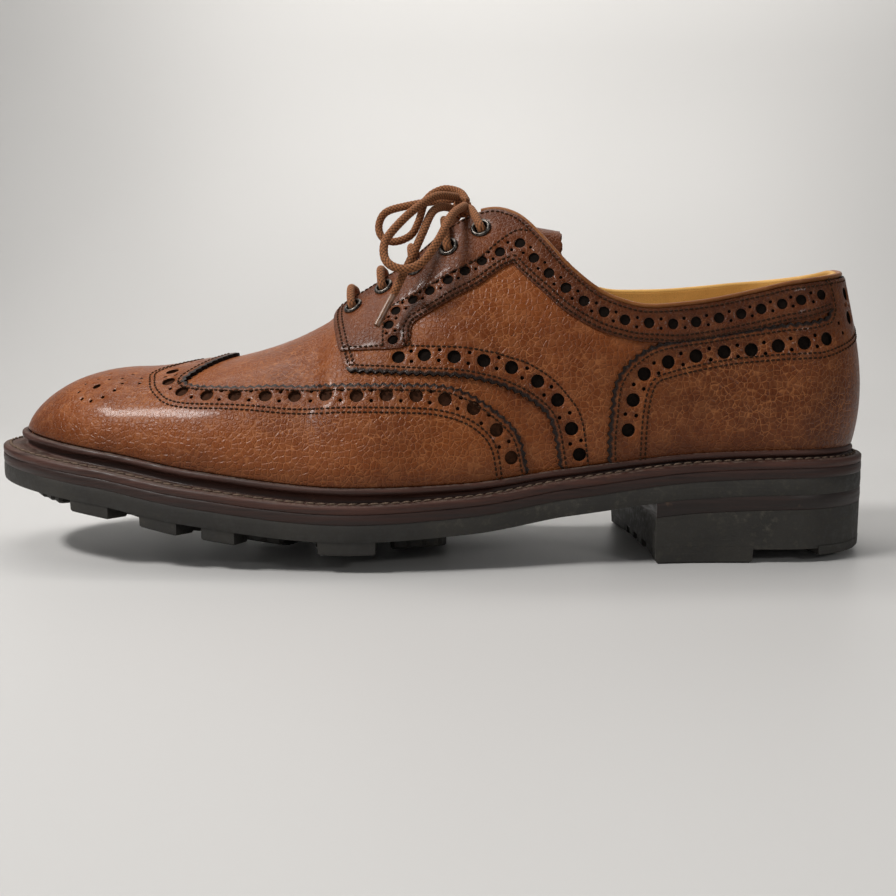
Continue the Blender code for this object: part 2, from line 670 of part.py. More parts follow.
def heel_block(finish):
    """The rubber heel: a flat-bottomed block with lugs round its edge."""
    across = np.array((-1.0, -0.5, 0.0, 0.5, 1.0))
    lug_ends = [m + s * n / 2 for m, n in HEEL_LUGS for s in (-1, 1)]
    breast = along_at(BREAST_X)
    wanted = [heel_along(x) for x in lug_ends if x > BREAST_X + 1]
    base = [b for b in sole_places(last=breast) if all(abs(b - w) > 3.0 for w in wanted)]
    places = np.unique(np.round([*base, *wanted], 4))
    tops = sole_rows(places, across, HEEL_TOP + HEEL_LIFT_THICK + GAP)
    bottoms = [[np.array([p[0], p[1], HEEL_LUG_DEPTH]) for p in row] for row in tops]
    grow = {}
    for i in range(len(places) - 1):
        x = sole_edge(LATERAL, (places[i] + places[i + 1]) / 2)[0]
        for (m, n), worn in zip(HEEL_LUGS, (0.0, HEEL_WEAR)):
            if abs(x - m) < n / 2:
                grow.update({(i, j): HEEL_LUG_DEPTH - worn for j in (0, 3)})
    middle = [i for i in range(len(places) - 1) if abs(places[i] - breast) < 30]
    grow.update({(i, j): HEEL_LUG_DEPTH for i in middle[-1:] for j in (1, 2)})
    return plate_between("heel_block", tops, bottoms, finish, grow)


def heel_along(x):
    """The rib whose sole edge lies at place x behind the heel's middle."""
    if x <= HEEL_CENTRE_X:
        return along_at(x)
    ribs = np.linspace(0, HEEL_ARC, 200)
    edge_x = sole_edge(LATERAL, ribs)[:, 0]
    return float(ribs[np.argmin(np.abs(edge_x - x))])


def insole(finish):
    """The insole, inside the upper on the midsole."""
    across = np.array((-1.0, -0.4, 0.4, 1.0))
    places = sole_places()
    rows = []
    for along in places:
        left, right = (outline_point(side, along, -INSOLE_INSET) for side in (LATERAL, MEDIAL))
        rows.append([left + (right - left) * (v + 1) / 2 for v in across])

    def at(depth):
        return [[np.array([*p, float(sole_height(along, v, depth))]) for p, v in zip(row, across)]
                for along, row in zip(places, rows)]

    low = WELT_THICK - INSOLE_LIFT
    return plate_between("insole", at(low - INSOLE_THICK), at(low), finish)


def welt(finish):
    """The storm welt: a flat strip round the whole shoe with a lip raised against the upper."""
    places = sole_places(step=13.0)[:-1]
    ring = [(LATERAL, a) for a in places[::-1]] + [(MEDIAL, a) for a in places[1:]]
    ring.insert(0, (LATERAL, HEEL_TO_TOE - 0.05))
    sections = []
    for side, along in ring:
        x = float(station(along)[0])
        deck = float(column(PLAN, "deck_z", x))
        feather = rib_point(side, along, 0.0)
        raised = rib_point(side, along, lip_top(side, along))
        edge = sole_edge(side, along)
        width = np.linalg.norm(edge - feather[:2])
        out = (edge - feather[:2]) / width
        swell = max(0.0, float((raised[:2] - feather[:2]) @ out)) + 1.3 * GAP
        inner = 1.3 * GAP
        profile = ((inner, -WELT_THICK), (inner, 0.0), (swell, LIP_HEIGHT), (swell + 0.6 * LIP_THICK, LIP_HEIGHT + 0.2),
                   (swell + LIP_THICK, LIP_HEIGHT - 1.2), (swell + 1.0, 0.0), (width, 0.0), (width, -WELT_THICK))
        sections.append([np.array([*(feather[:2] + out * r), deck + h]) for r, h in profile])
    size = len(sections[0])
    points = [p for s in sections for p in s]
    faces = []
    for k in range(len(sections)):
        for j in range(size):
            a, b = k * size + j, k * size + (j + 1) % size
            c, d = ((i + size) % len(points) for i in (b, a))
            faces.append((a, b, c, d))
    return add_mesh("welt", points, faces, finish)


def cord(name, route, finish, diameter=LACE_DIAMETER, sides_level=2):
    """A round cord along a route of points."""
    curve = bpy.data.curves.new(name, "CURVE")
    curve.dimensions = "3D"
    spline = curve.splines.new("POLY")
    spline.points.add(len(route) - 1)
    for point, p in zip(spline.points, route):
        point.co = (*(float(c) * MM for c in p), 1.0)
    curve.bevel_depth = diameter / 2 * MM
    curve.bevel_resolution = sides_level
    curve.use_fill_caps = True
    made = bpy.data.objects.new(name, curve)
    bpy.context.scene.collection.objects.link(made)
    made.parent = shoe
    curve.materials.append(finish)
    return made


def lace_bar(index, finish):
    """One lace bar: from above its lateral eyelet over both facing edges to above the medial one."""
    x, z = EYELETS[index]
    ends, edges = [], []
    rise = EYELET_RISE + LACE_DIAMETER / 2 + GAP
    for side in (LATERAL, MEDIAL):
        centre, normal, _, _ = eyelet_seat(side, x, z)
        ends.append(centre + normal * rise)
        along = along_at(x)
        top = rib_point(side, along, 0.985, np.array(FACING_LIFT + PANEL + LACE_DIAMETER / 2 + 2 * GAP))
        edges.append(top + np.array([0.0, 0.0, 0.6]))
    middle = (edges[0] + edges[1]) / 2 + np.array([0.0, 0.0, 0.5])
    return cord(f"lace_bar_{index + 1}", smooth_line([ends[0], edges[0], middle, edges[1], ends[1]], 5.0), finish)


# The bow, as hand-placed points: place along the shoe, across and height.
KNOT = (10.5, 0.0, 119.5)
KNOT_REACH = (3.0, 4.6, 2.9)
LOOP_LATERAL = ((8.7, -2.5, 122.8), (1.5, -12.0, 121.8), (-5.5, -20.0, 116.0), (-11.5, -25.5, 109.5),
                (-14.5, -29.0, 104.0), (-14.5, -32.0, 99.0), (-12.0, -33.5, 95.5), (-8.0, -34.0, 95.0),
                (-3.5, -33.0, 98.0), (2.0, -30.0, 105.5), (6.5, -22.0, 113.5), (10.4, -13.0, 117.8), (11.4, -5.7, 119.0))
LOOP_MEDIAL = ((9.0, 2.2, 123.0), (1.5, 7.0, 123.0), (-7.0, 9.0, 121.0), (-15.5, 11.0, 118.5),
               (-20.5, 12.0, 114.5), (-19.5, 11.5, 111.5), (-13.5, 10.0, 109.5), (-8.0, 9.5, 112.0),
               (-5.0, 10.5, 116.0), (-2.5, 12.5, 124.0), (3.5, 12.5, 129.0), (9.8, 9.0, 126.0), (12.2, 3.7, 122.2))
END_LATERAL = ((6.6, -2.3, 119.0), (3.4, -8.5, 118.4), (0.0, -15.0, 115.6), (-3.0, -22.0, 108.0), (-6.5, -26.0, 99.5),
               (-9.5, -27.5, 93.5), (-11.5, -29.5, 89.0), (-14.5, -32.0, 83.0), (-17.5, -34.5, 77.0))
END_MEDIAL = ((8.9, 4.4, 117.3), (8.6, 10.5, 118.0), (6.5, 18.5, 113.6), (1.5, 25.5, 104.5), (-4.0, 31.0, 94.0),
              (-8.0, 35.0, 84.5), (-11.0, 38.5, 75.5))


def knot(finish):
    """The knot: a squashed ball where the loops and ends meet."""
    work = bmesh.new()
    bmesh.ops.create_icosphere(work, subdivisions=2, radius=MM)
    for vert in work.verts:
        vert.co.x = (vert.co.x / MM * KNOT_REACH[0] + KNOT[0]) * MM
        vert.co.y = (vert.co.y / MM * KNOT_REACH[1] + KNOT[1]) * MM
        vert.co.z = (vert.co.z / MM * KNOT_REACH[2] + KNOT[2]) * MM
    mesh = bpy.data.meshes.new("lace_knot")
    work.to_mesh(mesh)
    work.free()
    mesh.shade_smooth()
    return add_object("lace_knot", mesh, finish)


def build():
    leather = material("brown_grain_leather", (0.22, 0.075, 0.025), 0.42)
    trim = material("brown_panel_leather", (0.19, 0.065, 0.025), 0.45)
    lining = material("tan_lining", (0.50, 0.27, 0.07), 0.7)
    edge = material("burgundy_sole_leather", (0.045, 0.012, 0.009), 0.5)
    rubber = material("black_rubber", (0.014, 0.014, 0.013), 0.75)
    metal = material("dark_eyelet_metal", (0.20, 0.18, 0.16), 0.35, 1.0)
    cotton = material("brown_cotton_lace", (0.24, 0.10, 0.045), 0.9)

    upper_shell(leather)
    wing_cap(trim)
    counter(trim)
    for side, word in ((LATERAL, "lateral"), (MEDIAL, "medial")):
        quarter(f"quarter_{word}", side, leather)
        facing(f"facing_{word}", side, trim)
        for i, (x, z) in enumerate(EYELETS):
            eyelet(f"eyelet_{word}_{i + 1}", side, x, z, metal)
    tongue(leather)
    insole(lining)
    welt(edge)
    midsole(edge)
    outsole(rubber)
    heel_lift(edge)
    heel_block(rubber)
    for i in range(len(EYELETS)):
        lace_bar(i, cotton)
    knot(cotton)
    for name, route in (("lace_loop_lateral", LOOP_LATERAL), ("lace_loop_medial", LOOP_MEDIAL),
                        ("lace_end_lateral", END_LATERAL), ("lace_end_medial", END_MEDIAL)):
        cord(name, smooth_line(route, 5.5), cotton)


for old in list(bpy.data.objects):
    bpy.data.objects.remove(old)
shoe = bpy.data.objects.new("shoe", None)
bpy.context.scene.collection.objects.link(shoe)
outline_points = np.concatenate([sole_edge(s, np.linspace(0, HEEL_TO_TOE, 2000)) for s in (LATERAL, MEDIAL)])
shoe.location = (*(-(outline_points.min(0) + outline_points.max(0)) / 2 * MM), 0.0)
build()
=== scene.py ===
"""Left wingtip derby shoe on a lugged rubber sole: its visible pieces, camera, light and floor.

Lengths are in millimetres on the shoe's last and become metres when a mesh is made. The heel points to +X,
the toe to -X, the outer (lateral) side to -Y and the inner (medial) side to +Y.
"""

import math

import bmesh
import bpy
import numpy as np
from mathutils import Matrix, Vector
from mathutils.geometry import delaunay_2d_cdt
from mathutils.kdtree import KDTree


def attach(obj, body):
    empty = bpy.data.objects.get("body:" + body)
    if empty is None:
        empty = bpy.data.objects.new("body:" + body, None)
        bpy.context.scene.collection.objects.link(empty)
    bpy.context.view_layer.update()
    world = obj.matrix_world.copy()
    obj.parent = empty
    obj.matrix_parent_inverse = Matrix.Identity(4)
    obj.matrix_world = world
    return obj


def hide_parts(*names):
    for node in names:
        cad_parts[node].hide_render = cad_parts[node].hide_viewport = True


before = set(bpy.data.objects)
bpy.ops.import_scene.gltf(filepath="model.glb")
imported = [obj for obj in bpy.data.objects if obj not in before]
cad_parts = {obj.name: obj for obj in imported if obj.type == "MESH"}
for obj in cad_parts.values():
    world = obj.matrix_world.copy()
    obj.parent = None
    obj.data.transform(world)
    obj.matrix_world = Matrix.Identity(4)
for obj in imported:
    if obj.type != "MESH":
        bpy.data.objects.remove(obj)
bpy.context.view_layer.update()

MM = 0.001
LATERAL = -1.0
MEDIAL = 1.0

# Camera: place, dip below level, and focal length and picture width in pixels.
CAMERA_PLACE = np.array((6.6, -325.0, 67.9))
CAMERA_DIP = math.radians(5.95)
FOCAL = 897.0
PICTURE = 896.0

# The last in plan.
HEEL_CENTRE_X = 115.0
TOE_CENTRE_X = -105.0
HEEL_REACH = 30.0
TOE_REACH = 40.5
HEEL_ARC = 48.0
TOE_ARC = 56.0
MIDDLE = HEEL_CENTRE_X - TOE_CENTRE_X
HEEL_TO_TOE = HEEL_ARC + MIDDLE + TOE_ARC
UP_SCALE = 70.0

# Thicknesses, clearances and places of the upper and the sole.
WALL = 2.0
GAP = 0.3
FEATHER_GAP = 0.3
QUARTER_TOP = 1.5
WING_TOP = 1.6
BAND_TOP = 2.4
COUNTER_TOP = 2.5
WELT_THICK = 2.6
MIDSOLE_THICK = 2.8
OUTSOLE_THICK = 5.2
LUG_DEPTH = 4.2
INSOLE_THICK = 4.6
TONGUE_ROOM = 3.4
TONGUE_START = -40.0
TONGUE_BEND = 22.0
TONGUE_END = 44.0
TONGUE_FALL = 0.16
TONGUE_TOOTH = 0.9
TONGUE_THICK = 1.9
INSOLE_INSET = 3.0
INSOLE_LIFT = 0.9
LIP_CLEAR = 1.4
LOW_CLEAR = 0.5
PANEL_LIFT = 1.9
UNDERLAP = 2.6
HEEL_LIFT_THICK = 4.5
EDGE_ROUND = 0.35
HEEL_LUG_DEPTH = 4.6
HEEL_WEAR = 2.2
BREAST_X = 72.0
STRAP_HALF = 28.0
TOP_EDGE = 0.985
THROAT_X = -37.9
FACING_FRONT_X = -31.0
LACE_SEAM_X = -29.0
COLLAR_FRONT_X = 17.0
OUTSOLE_TOP = WELT_THICK + MIDSOLE_THICK + 2 * GAP
HEEL_TOP = OUTSOLE_TOP + OUTSOLE_THICK + GAP

# Lacing.
EYELET_OUTER = 3.5
EYELET_INNER = 2.1
LACE_DIAMETER = 3.2
BRAID_DIAMETER = 2.9
KNOT_RADIUS = 1.55
TIP_LENGTH = 12.5
TIP_RADIUS = 1.12
EYELETS = ((-26.0, 82.6), (-15.5, 89.2), (-4.5, 95.8), (6.5, 102.4), (17.0, 108.6))

# Punched holes as radius, pin radius, sides and spread of the pins; then gimped edges and stitches.
WIDE_ROW = (2.2, 0.66, 18, 1.8)
BAND_ROW = (1.75, 0.56, 16, 1.5)
PIN_SIDES = 7
MEDALLION_PIN = 0.62
HEART_HOLE = (1.35, 12)
GIMP_PITCH = 2.7
GIMP_DEPTH = 0.95
STITCH_PITCH = 1.7
STITCH_SIZE = (1.4, 0.76, 0.66)
STITCH_LIFT = 0.02
SEAM_GAP = 1.6
WELT_PITCH = 3.3
WELT_STITCH_SIZE = (3.0, 1.0, 0.8)

# Feather line by station, with the welt's height, width and lip and the hollow of the sole.
PLAN = {
    "x": (-145.5, -105.0, -75.0, -27.0, 10.0, 42.0, 88.0, 115.0, 145.0),
    "mid_y": (5.0, 4.0, 2.5, 0.5, -3.0, -4.0, -0.5, 0.0, 0.0),
    "half_width": (32.0, 37.0, 41.5, 44.5, 37.5, 30.5, 29.5, 30.0, 30.0),
    "deck_z": (37.2, 31.2, 25.8, 21.2, 23.0, 27.5, 32.6, 33.6, 34.0),
    "welt": (9.0, 9.0, 9.0, 8.5, 8.0, 7.5, 7.0, 7.0, 7.0),
    "crown": (0.0, 3.5, 5.6, 6.4, 6.0, 2.5, 0.0, 0.0, 0.0),
    "lip": (4.6, 4.7, 4.8, 4.7, 3.9, 3.3, 3.1, 3.1, 3.1),
}

# Top line by station.
TOP = {
    "x": (-145.5, -124.0, -105.0, -70.0, -51.0, -38.0, -33.0, -10.0, 14.0, 21.0, 28.0, 36.0, 45.0, 58.0, 70.0,
          85.0, 105.0, 115.0, 145.0),
    "half_gap": (0.0, 0.0, 0.0, 0.0, 0.0, 0.0, 5.0, 7.0, 9.5, 11.0, 14.0, 19.0, 24.0, 28.0, 29.0,
                 28.8, 28.0, 27.4, 26.2),
    "lateral_z": (61.0, 62.2, 62.2, 67.4, 73.0, 79.2, 82.4, 97.0, 114.2, 116.0, 113.9, 105.9, 95.2, 85.6,
                  82.8, 84.0, 87.8, 90.2, 96.6),
    "medial_z": (61.0, 62.2, 62.2, 67.4, 73.0, 79.2, 82.4, 97.0, 114.2, 116.4, 115.2, 110.0, 101.5, 94.0,
                 91.6, 91.8, 93.2, 94.2, 96.6),
}

# Wall shape by station.
WALL_SHAPE = {
    "x": (-145.5, -105.0, -70.0, -38.0, 0.0, 25.0, 45.0, 72.0, 115.0, 145.0),
    "lean_low": (3.0, 4.0, 6.0, 8.0, 10.0, 10.0, 11.0, 12.0, 14.0, 19.0),
    "pull_low": (0.56, 0.60, 0.58, 0.42, 0.36, 0.33, 0.34, 0.36, 0.36, 0.36),
    "fall_top": (0.0, 0.0, 3.0, 16.0, 42.0, 56.0, 68.0, 78.0, 80.0, 78.0),
    "pull_top": (0.56, 0.60, 0.60, 0.50, 0.45, 0.50, 0.50, 0.45, 0.55, 0.65),
}

# The bow, as given points: place along the shoe, across and height.
KNOT = (10.5, 0.0, 119.5)
LOOP_LATERAL = ((8.7, -2.5, 122.8), (1.5, -12.0, 121.5), (-5.5, -20.0, 116.0), (-11.5, -25.5, 109.5),
                (-15.0, -29.0, 104.0), (-15.0, -31.5, 99.0), (-12.5, -33.5, 96.0), (-7.5, -34.5, 95.0),
                (-2.5, -33.5, 97.5), (2.5, -30.0, 105.0), (6.5, -22.0, 113.5), (10.4, -13.0, 117.8),
                (11.4, -5.7, 119.0))
LOOP_MEDIAL = ((9.0, 2.2, 123.0), (1.5, 7.0, 123.0), (-7.5, 9.0, 122.0), (-17.0, 12.0, 120.0),
               (-20.0, 12.5, 115.5), (-19.0, 11.5, 111.0), (-14.5, 10.5, 109.0), (-8.5, 9.5, 111.0),
               (-5.5, 10.5, 116.0), (-2.5, 12.5, 124.5), (3.5, 12.0, 128.0), (9.5, 9.0, 126.5),
               (12.2, 3.7, 122.2))
END_LATERAL = ((6.6, -2.3, 119.0), (3.4, -8.5, 118.4), (0.0, -15.0, 115.6), (-3.0, -22.0, 108.0),
               (-6.5, -26.0, 99.5), (-9.5, -27.5, 93.5), (-11.5, -29.5, 89.0), (-14.5, -32.0, 83.0),
               (-17.5, -34.5, 77.0))
END_MEDIAL = ((8.9, 4.4, 117.3), (8.6, 10.5, 118.0), (6.5, 18.5, 113.6), (1.5, 25.5, 104.5),
              (-4.0, 31.0, 94.0), (-8.0, 35.0, 84.5), (-11.0, 38.5, 75.5))

# Pattern lines read on the picture of the outer side, in picture pixels.
WING_REAR = ((185, 375), (183, 381), (201, 385), (244, 386), (287, 385), (373, 384), (430, 385), (470, 395),
             (505, 420), (520, 440), (528, 468))
WING_FRONT = ((158, 370), (152, 379), (156, 392), (178, 404), (258, 408), (330, 410), (402, 410), (450, 415),
              (478, 428), (494, 448), (500, 472))
WING_HOLES = ((172, 370), (168, 380), (181, 390), (206, 394), (234, 394), (265, 395), (294, 395), (325, 394),
              (356, 395), (386, 394), (416, 395), (445, 399), (474, 408), (497, 430), (512, 458))
QUARTER_LOW = ((346, 368), (400, 371), (440, 373), (480, 378), (520, 392), (545, 410), (555, 430), (562, 466))
QUARTER_STITCH = ((407, 345), (440, 346), (472, 348), (510, 357), (549, 376), (569, 397), (582, 420),
                  (589, 457))
QUARTER_HOLES = ((398, 356), (424, 354), (454, 356), (484, 360), (512, 367), (538, 381), (558, 400),
                 (572, 429), (580, 455))
FACING_HOLES = ((389, 325), (396, 311), (413, 300), (430, 291), (448, 280), (465, 271), (482, 261),
                (500, 252), (520, 243))
COLLAR_HOLES = ((534, 258), (549, 273), (566, 288), (584, 301), (604, 312), (625, 320), (649, 323),
                (673, 324), (696, 322), (719, 318), (741, 314), (761, 309), (782, 304), (801, 300),
                (821, 295))
STAY_STITCH = ((383, 345), (384, 326), (392, 307), (440, 280), (484, 255), (526, 231))
BAND_LOW = ((407, 345), (406, 331), (411, 319), (440, 301), (478, 280), (515, 258), (525, 269),
            (551, 292), (576, 312), (602, 326), (628, 334), (653, 337), (679, 338), (704, 335),
            (755, 325), (806, 314), (829, 307))
COUNTER_EDGE = ((610, 462), (610, 440), (612, 420), (617, 384), (633, 361), (658, 346), (704, 338),
                (755, 330), (806, 324), (827, 319), (831, 309), (828, 294), (825, 285))
COUNTER_STITCH = ((642, 457), (645, 414), (653, 384), (673, 374), (730, 362), (806, 356), (832, 352))
COUNTER_HOLES = ((628, 430), (633, 400), (644, 374), (668, 362), (696, 356), (724, 352), (751, 350),
                 (778, 346), (804, 343), (826, 339))
MEDALLION = ((78, 391), (81, 398), (90, 400), (102, 396), (114, 389), (85, 383), (98, 378), (109, 378),
             (122, 382), (122, 377), (110, 373), (139, 382), (141, 377), (133, 373))
MEDALLION_HEART = (96, 385)
FOOT_EDGE = ((345, 350), (383, 349), (402, 348))
FOOT_STITCH = ((345, 347), (364, 347), (382, 346))
FOOT_HOLE = (393, 340)
PEAK_X = -70.5
PEAK_HOLE_X = -78.0
PEAK_SEAM_X = -84.0

# Back strap: rib place and height up the wall of its holes and of its seam's end.
STRAP_HOLES = ((20.0, 0.745), (19.5, 0.885))
STRAP_STITCH = ((9.0, 0.67), (7.0, 0.76), (7.0, 0.96))

# Front edge of the facing in side view, as place along the shoe and height.
FRONT_EDGE = ((-28.4, 63.6), (-30.6, 70.0), (-32.4, 76.0), (-33.0, 79.6), (-32.6, 81.6))


# The last

def slopes(xs, ys):
    """Slopes of a smooth curve through a table that never overshoots its rows."""
    step = np.diff(xs)
    rise = np.diff(ys) / step
    slope = np.zeros(len(xs))
    for i in range(1, len(xs) - 1):
        if rise[i - 1] * rise[i] > 0:
            before = 2 * step[i] + step[i - 1]
            after = step[i] + 2 * step[i - 1]
            slope[i] = (before + after) / (before / rise[i - 1] + after / rise[i])
    slope[0] = rise[0]
    slope[-1] = rise[-1]
    return slope


columns_read = {}


def column(table, name, x):
    """One column of a station table, read smoothly at the places x."""
    key = (id(table), name)
    if key not in columns_read:
        rows = (np.array(table["x"]), np.array(table[name]))
        columns_read[key] = (*rows, slopes(*rows))
    xs, ys, slope = columns_read[key]
    x = np.clip(np.asarray(x, float), xs[0], xs[-1])
    i = np.clip(np.searchsorted(xs, x) - 1, 0, len(xs) - 2)
    width = xs[i + 1] - xs[i]
    u = (x - xs[i]) / width
    return (
        ys[i] * (1 + 2 * u) * (1 - u) ** 2
        + slope[i] * width * u * (1 - u) ** 2
        + ys[i + 1] * u * u * (3 - 2 * u)
        + slope[i + 1] * width * u * u * (u - 1)
    )


def station(along):
    """Table place, plan origin x, plan angle from the heel axis and toe closing share of a rib."""
    along = np.asarray(along, float)
    heel = np.clip(along / HEEL_ARC, 0, 1)
    toe = np.clip((along - HEEL_ARC - MIDDLE) / TOE_ARC, 0, 1)
    turn = toe * math.pi / 2
    x_middle = HEEL_CENTRE_X - np.clip(along - HEEL_ARC, 0, MIDDLE)
    x_table = x_middle + HEEL_REACH * (1 - heel) - TOE_REACH * np.sin(turn)
    x_origin = x_middle - TOE_REACH * np.sin(turn)
    return x_table, x_origin, heel * math.pi / 2, np.cos(turn)


def along_at(x):
    """The rib at place x on the straight middle or the toe."""
    if x >= TOE_CENTRE_X:
        return HEEL_ARC + HEEL_CENTRE_X - x
    return HEEL_ARC + MIDDLE + TOE_ARC * math.asin(min(1.0, (TOE_CENTRE_X - x) / TOE_REACH)) / (math.pi / 2)


def feather_radius(along):
    """Distance of the feather line from the rib's plan origin."""
    x, _, angle, closing = station(along)
    half = column(PLAN, "half_width", x)
    return closing / np.hypot(np.cos(angle) / HEEL_REACH, np.sin(angle) / half)


def bare_point(side, along, up):
    """Point of the last: along the side from heel back to toe tip, up from feather 0 to top line 1."""
    along, up = np.broadcast_arrays(np.asarray(along, float), np.asarray(up, float))
    x, x_origin, angle, closing = station(along)
    low_r = feather_radius(along)
    low_z = column(PLAN, "deck_z", x) + FEATHER_GAP
    high_r = column(TOP, "half_gap", x)
    full_z = column(TOP, "lateral_z" if side < 0 else "medial_z", x)
    high_z = low_z + (full_z - low_z) * closing
    lean = np.radians(column(WALL_SHAPE, "lean_low", x))
    fall = np.radians(column(WALL_SHAPE, "fall_top", x))
    pull_low = column(WALL_SHAPE, "pull_low", x) * (high_z - low_z)
    pull_top = column(WALL_SHAPE, "pull_top", x) * low_r
    radii = (low_r, low_r + pull_low * np.tan(lean), high_r + pull_top * np.cos(fall), high_r)
    heights = (low_z, low_z + pull_low, high_z - pull_top * np.sin(fall), high_z)
    weights = ((1 - up) ** 3, 3 * up * (1 - up) ** 2, 3 * up * up * (1 - up), up**3)
    r = sum(w * v for w, v in zip(weights, radii))
    z = sum(w * v for w, v in zip(weights, heights))
    y = column(PLAN, "mid_y", x) + side * r * np.sin(angle)
    return np.stack([x_origin + r * np.cos(angle), y, z], -1)


def rib_normal(side, along, up):
    """Outward unit normal of the last."""
    step_along = 0.05
    step_up = 0.0005
    a0 = np.clip(along - step_along, 0.0, None)
    a1 = np.clip(along + step_along, None, HEEL_TO_TOE - 0.3)
    a0 = np.minimum(a0, a1 - step_along)
    d_along = bare_point(side, a1, up) - bare_point(side, a0, up)
    d_up = bare_point(side, along, up + step_up) - bare_point(side, along, up - step_up)
    normal = np.cross(d_along, d_up) * side
    return normal / np.maximum(np.linalg.norm(normal, axis=-1, keepdims=True), 1e-12)


# Creases of wear: rib place, height up the wall, half length, half width, depth and tilt. A depth below 0
# is a ridge, and every depth counts by the share.
CREASE_SHARE = 0.55
CREASES = (
    (187.0, 0.62, 0.26, 5.0, 0.55, 30.0),
    (199.0, 0.58, 0.22, 4.5, -0.40, 26.0),
    (208.0, 0.60, 0.28, 4.5, 0.60, 24.0),
    (219.0, 0.56, 0.20, 5.0, -0.35, 20.0),
    (228.0, 0.58, 0.20, 4.5, 0.40, 16.0),
    (104.0, 0.40, 0.22, 6.0, 0.50, -14.0),
    (92.0, 0.44, 0.20, 5.0, -0.35, -14.0),
    (80.0, 0.62, 0.18, 7.0, 0.45, -20.0),
)


def crease(along, up):
    """How far wear lifts or sinks the leather."""
    rise = np.zeros(np.broadcast(along, up).shape)
    for place, height, length, width, depth, tilt in CREASES:
        across = (along - place - tilt * (up - height)) / width
        upward = (up - height) / length
        rise = rise - CREASE_SHARE * depth * np.exp(-across * across) * np.exp(-upward * upward)
    return rise


def rib_point(side, along, up, lift=0.0):
    """Point on the leather at a lift above the last."""
    along, up = np.broadcast_arrays(np.asarray(along, float), np.asarray(up, float))
    rise = np.asarray(lift) + crease(along, up)
    return bare_point(side, along, up) + rise[..., None] * rib_normal(side, along, up)


def up_at(side, along, z):
    """How far up its rib the wall reaches height z."""
    along, z = np.broadcast_arrays(np.asarray(along, float), np.asarray(z, float))
    low = np.zeros(along.shape)
    high = np.ones(along.shape)
    for _ in range(26):
        middle = (low + high) / 2
        under = bare_point(side, along, middle)[..., 2] < z
        low = np.where(under, middle, low)
        high = np.where(under, high, middle)
    return (low + high) / 2


def lip_top(side, along, clear=0.0):
    """How far up its rib the wall goes behind the welt's lip."""
    x = station(along)[0]
    return up_at(side, along, column(PLAN, "deck_z", x) + column(PLAN, "lip", x) + clear)


def outline_point(side, along, out):
    """Plan point of the feather line moved outwards by a distance."""
    step = 0.02
    along = np.clip(np.asarray(along, float), step, HEEL_TO_TOE - step)
    before, here, after = (bare_point(side, along + d, 0.0)[..., :2] for d in (-step, 0.0, step))
    tangent = after - before
    outward = np.stack([tangent[..., 1], -tangent[..., 0]], -1) * side
    outward = outward / np.linalg.norm(outward, axis=-1, keepdims=True)
    return here + outward * np.asarray(out)[..., None]


def sole_edge(side, along):
    """Plan point of the sole's edge."""
    return outline_point(side, along, column(PLAN, "welt", station(along)[0]))


edge_points = np.concatenate([sole_edge(s, np.linspace(0, HEEL_TO_TOE, 2000)) for s in (LATERAL, MEDIAL)])
PLACE = np.array((*(-(edge_points.min(0) + edge_points.max(0)) / 2), 0.0))


# Charts that lay the upper flat

def on_side(side):
    """Chart of one side of the shoe."""
    return lambda along, up, lift: rib_point(side, along, up, lift)


def over_toe(along, over, lift):
    """Chart of the forepart, unrolled over the ridge: lateral wall 0 to 1, medial wall 1 to 2."""
    lateral = rib_point(LATERAL, along, over, lift)
    medial = rib_point(MEDIAL, along, 2.0 - over, lift)
    blend = np.clip((over - 0.97) / 0.06, 0, 1)[..., None]
    blend = blend * blend * (3 - 2 * blend)
    lateral_side = rib_point(LATERAL, along, np.minimum(over, 1.0), lift)
    medial_side = rib_point(MEDIAL, along, np.minimum(2.0 - over, 1.0), lift)
    near_ridge = (np.abs(over - 1) < 0.03)[..., None]
    rough = np.where((over < 1)[..., None], lateral, medial)
    return np.where(near_ridge, lateral_side * (1 - blend) + medial_side * blend, rough)


def round_heel(along, up, lift):
    """Chart of the back part: lateral side below 0, medial side above 0."""
    lateral = rib_point(LATERAL, np.abs(along), up, lift)
    medial = rib_point(MEDIAL, np.abs(along), up, lift)
    blend = np.clip((along + 0.5) / 1.0, 0, 1)[..., None]
    return lateral * (1 - blend) + medial * blend


def to_picture(points):
    """Picture pixels of points on the last."""
    away = points + PLACE - CAMERA_PLACE
    depth = away[..., 1] * math.cos(CAMERA_DIP) - away[..., 2] * math.sin(CAMERA_DIP)
    height = away[..., 1] * math.sin(CAMERA_DIP) + away[..., 2] * math.cos(CAMERA_DIP)
    half = PICTURE / 2
    return np.stack([half + FOCAL * away[..., 0] / depth, half - FOCAL * height / depth], -1)


def panel_point(along, up):
    """Point on the face of a panel on the outer wall."""
    return bare_point(LATERAL, along, up) + PANEL_LIFT * rib_normal(LATERAL, along, up)


SEEN_ALONG = np.linspace(1.0, HEEL_TO_TOE - 1.0, 640)
SEEN_UP = np.linspace(0.0, 1.0, 220)
SEEN = to_picture(panel_point(SEEN_ALONG[:, None], SEEN_UP[None, :]))


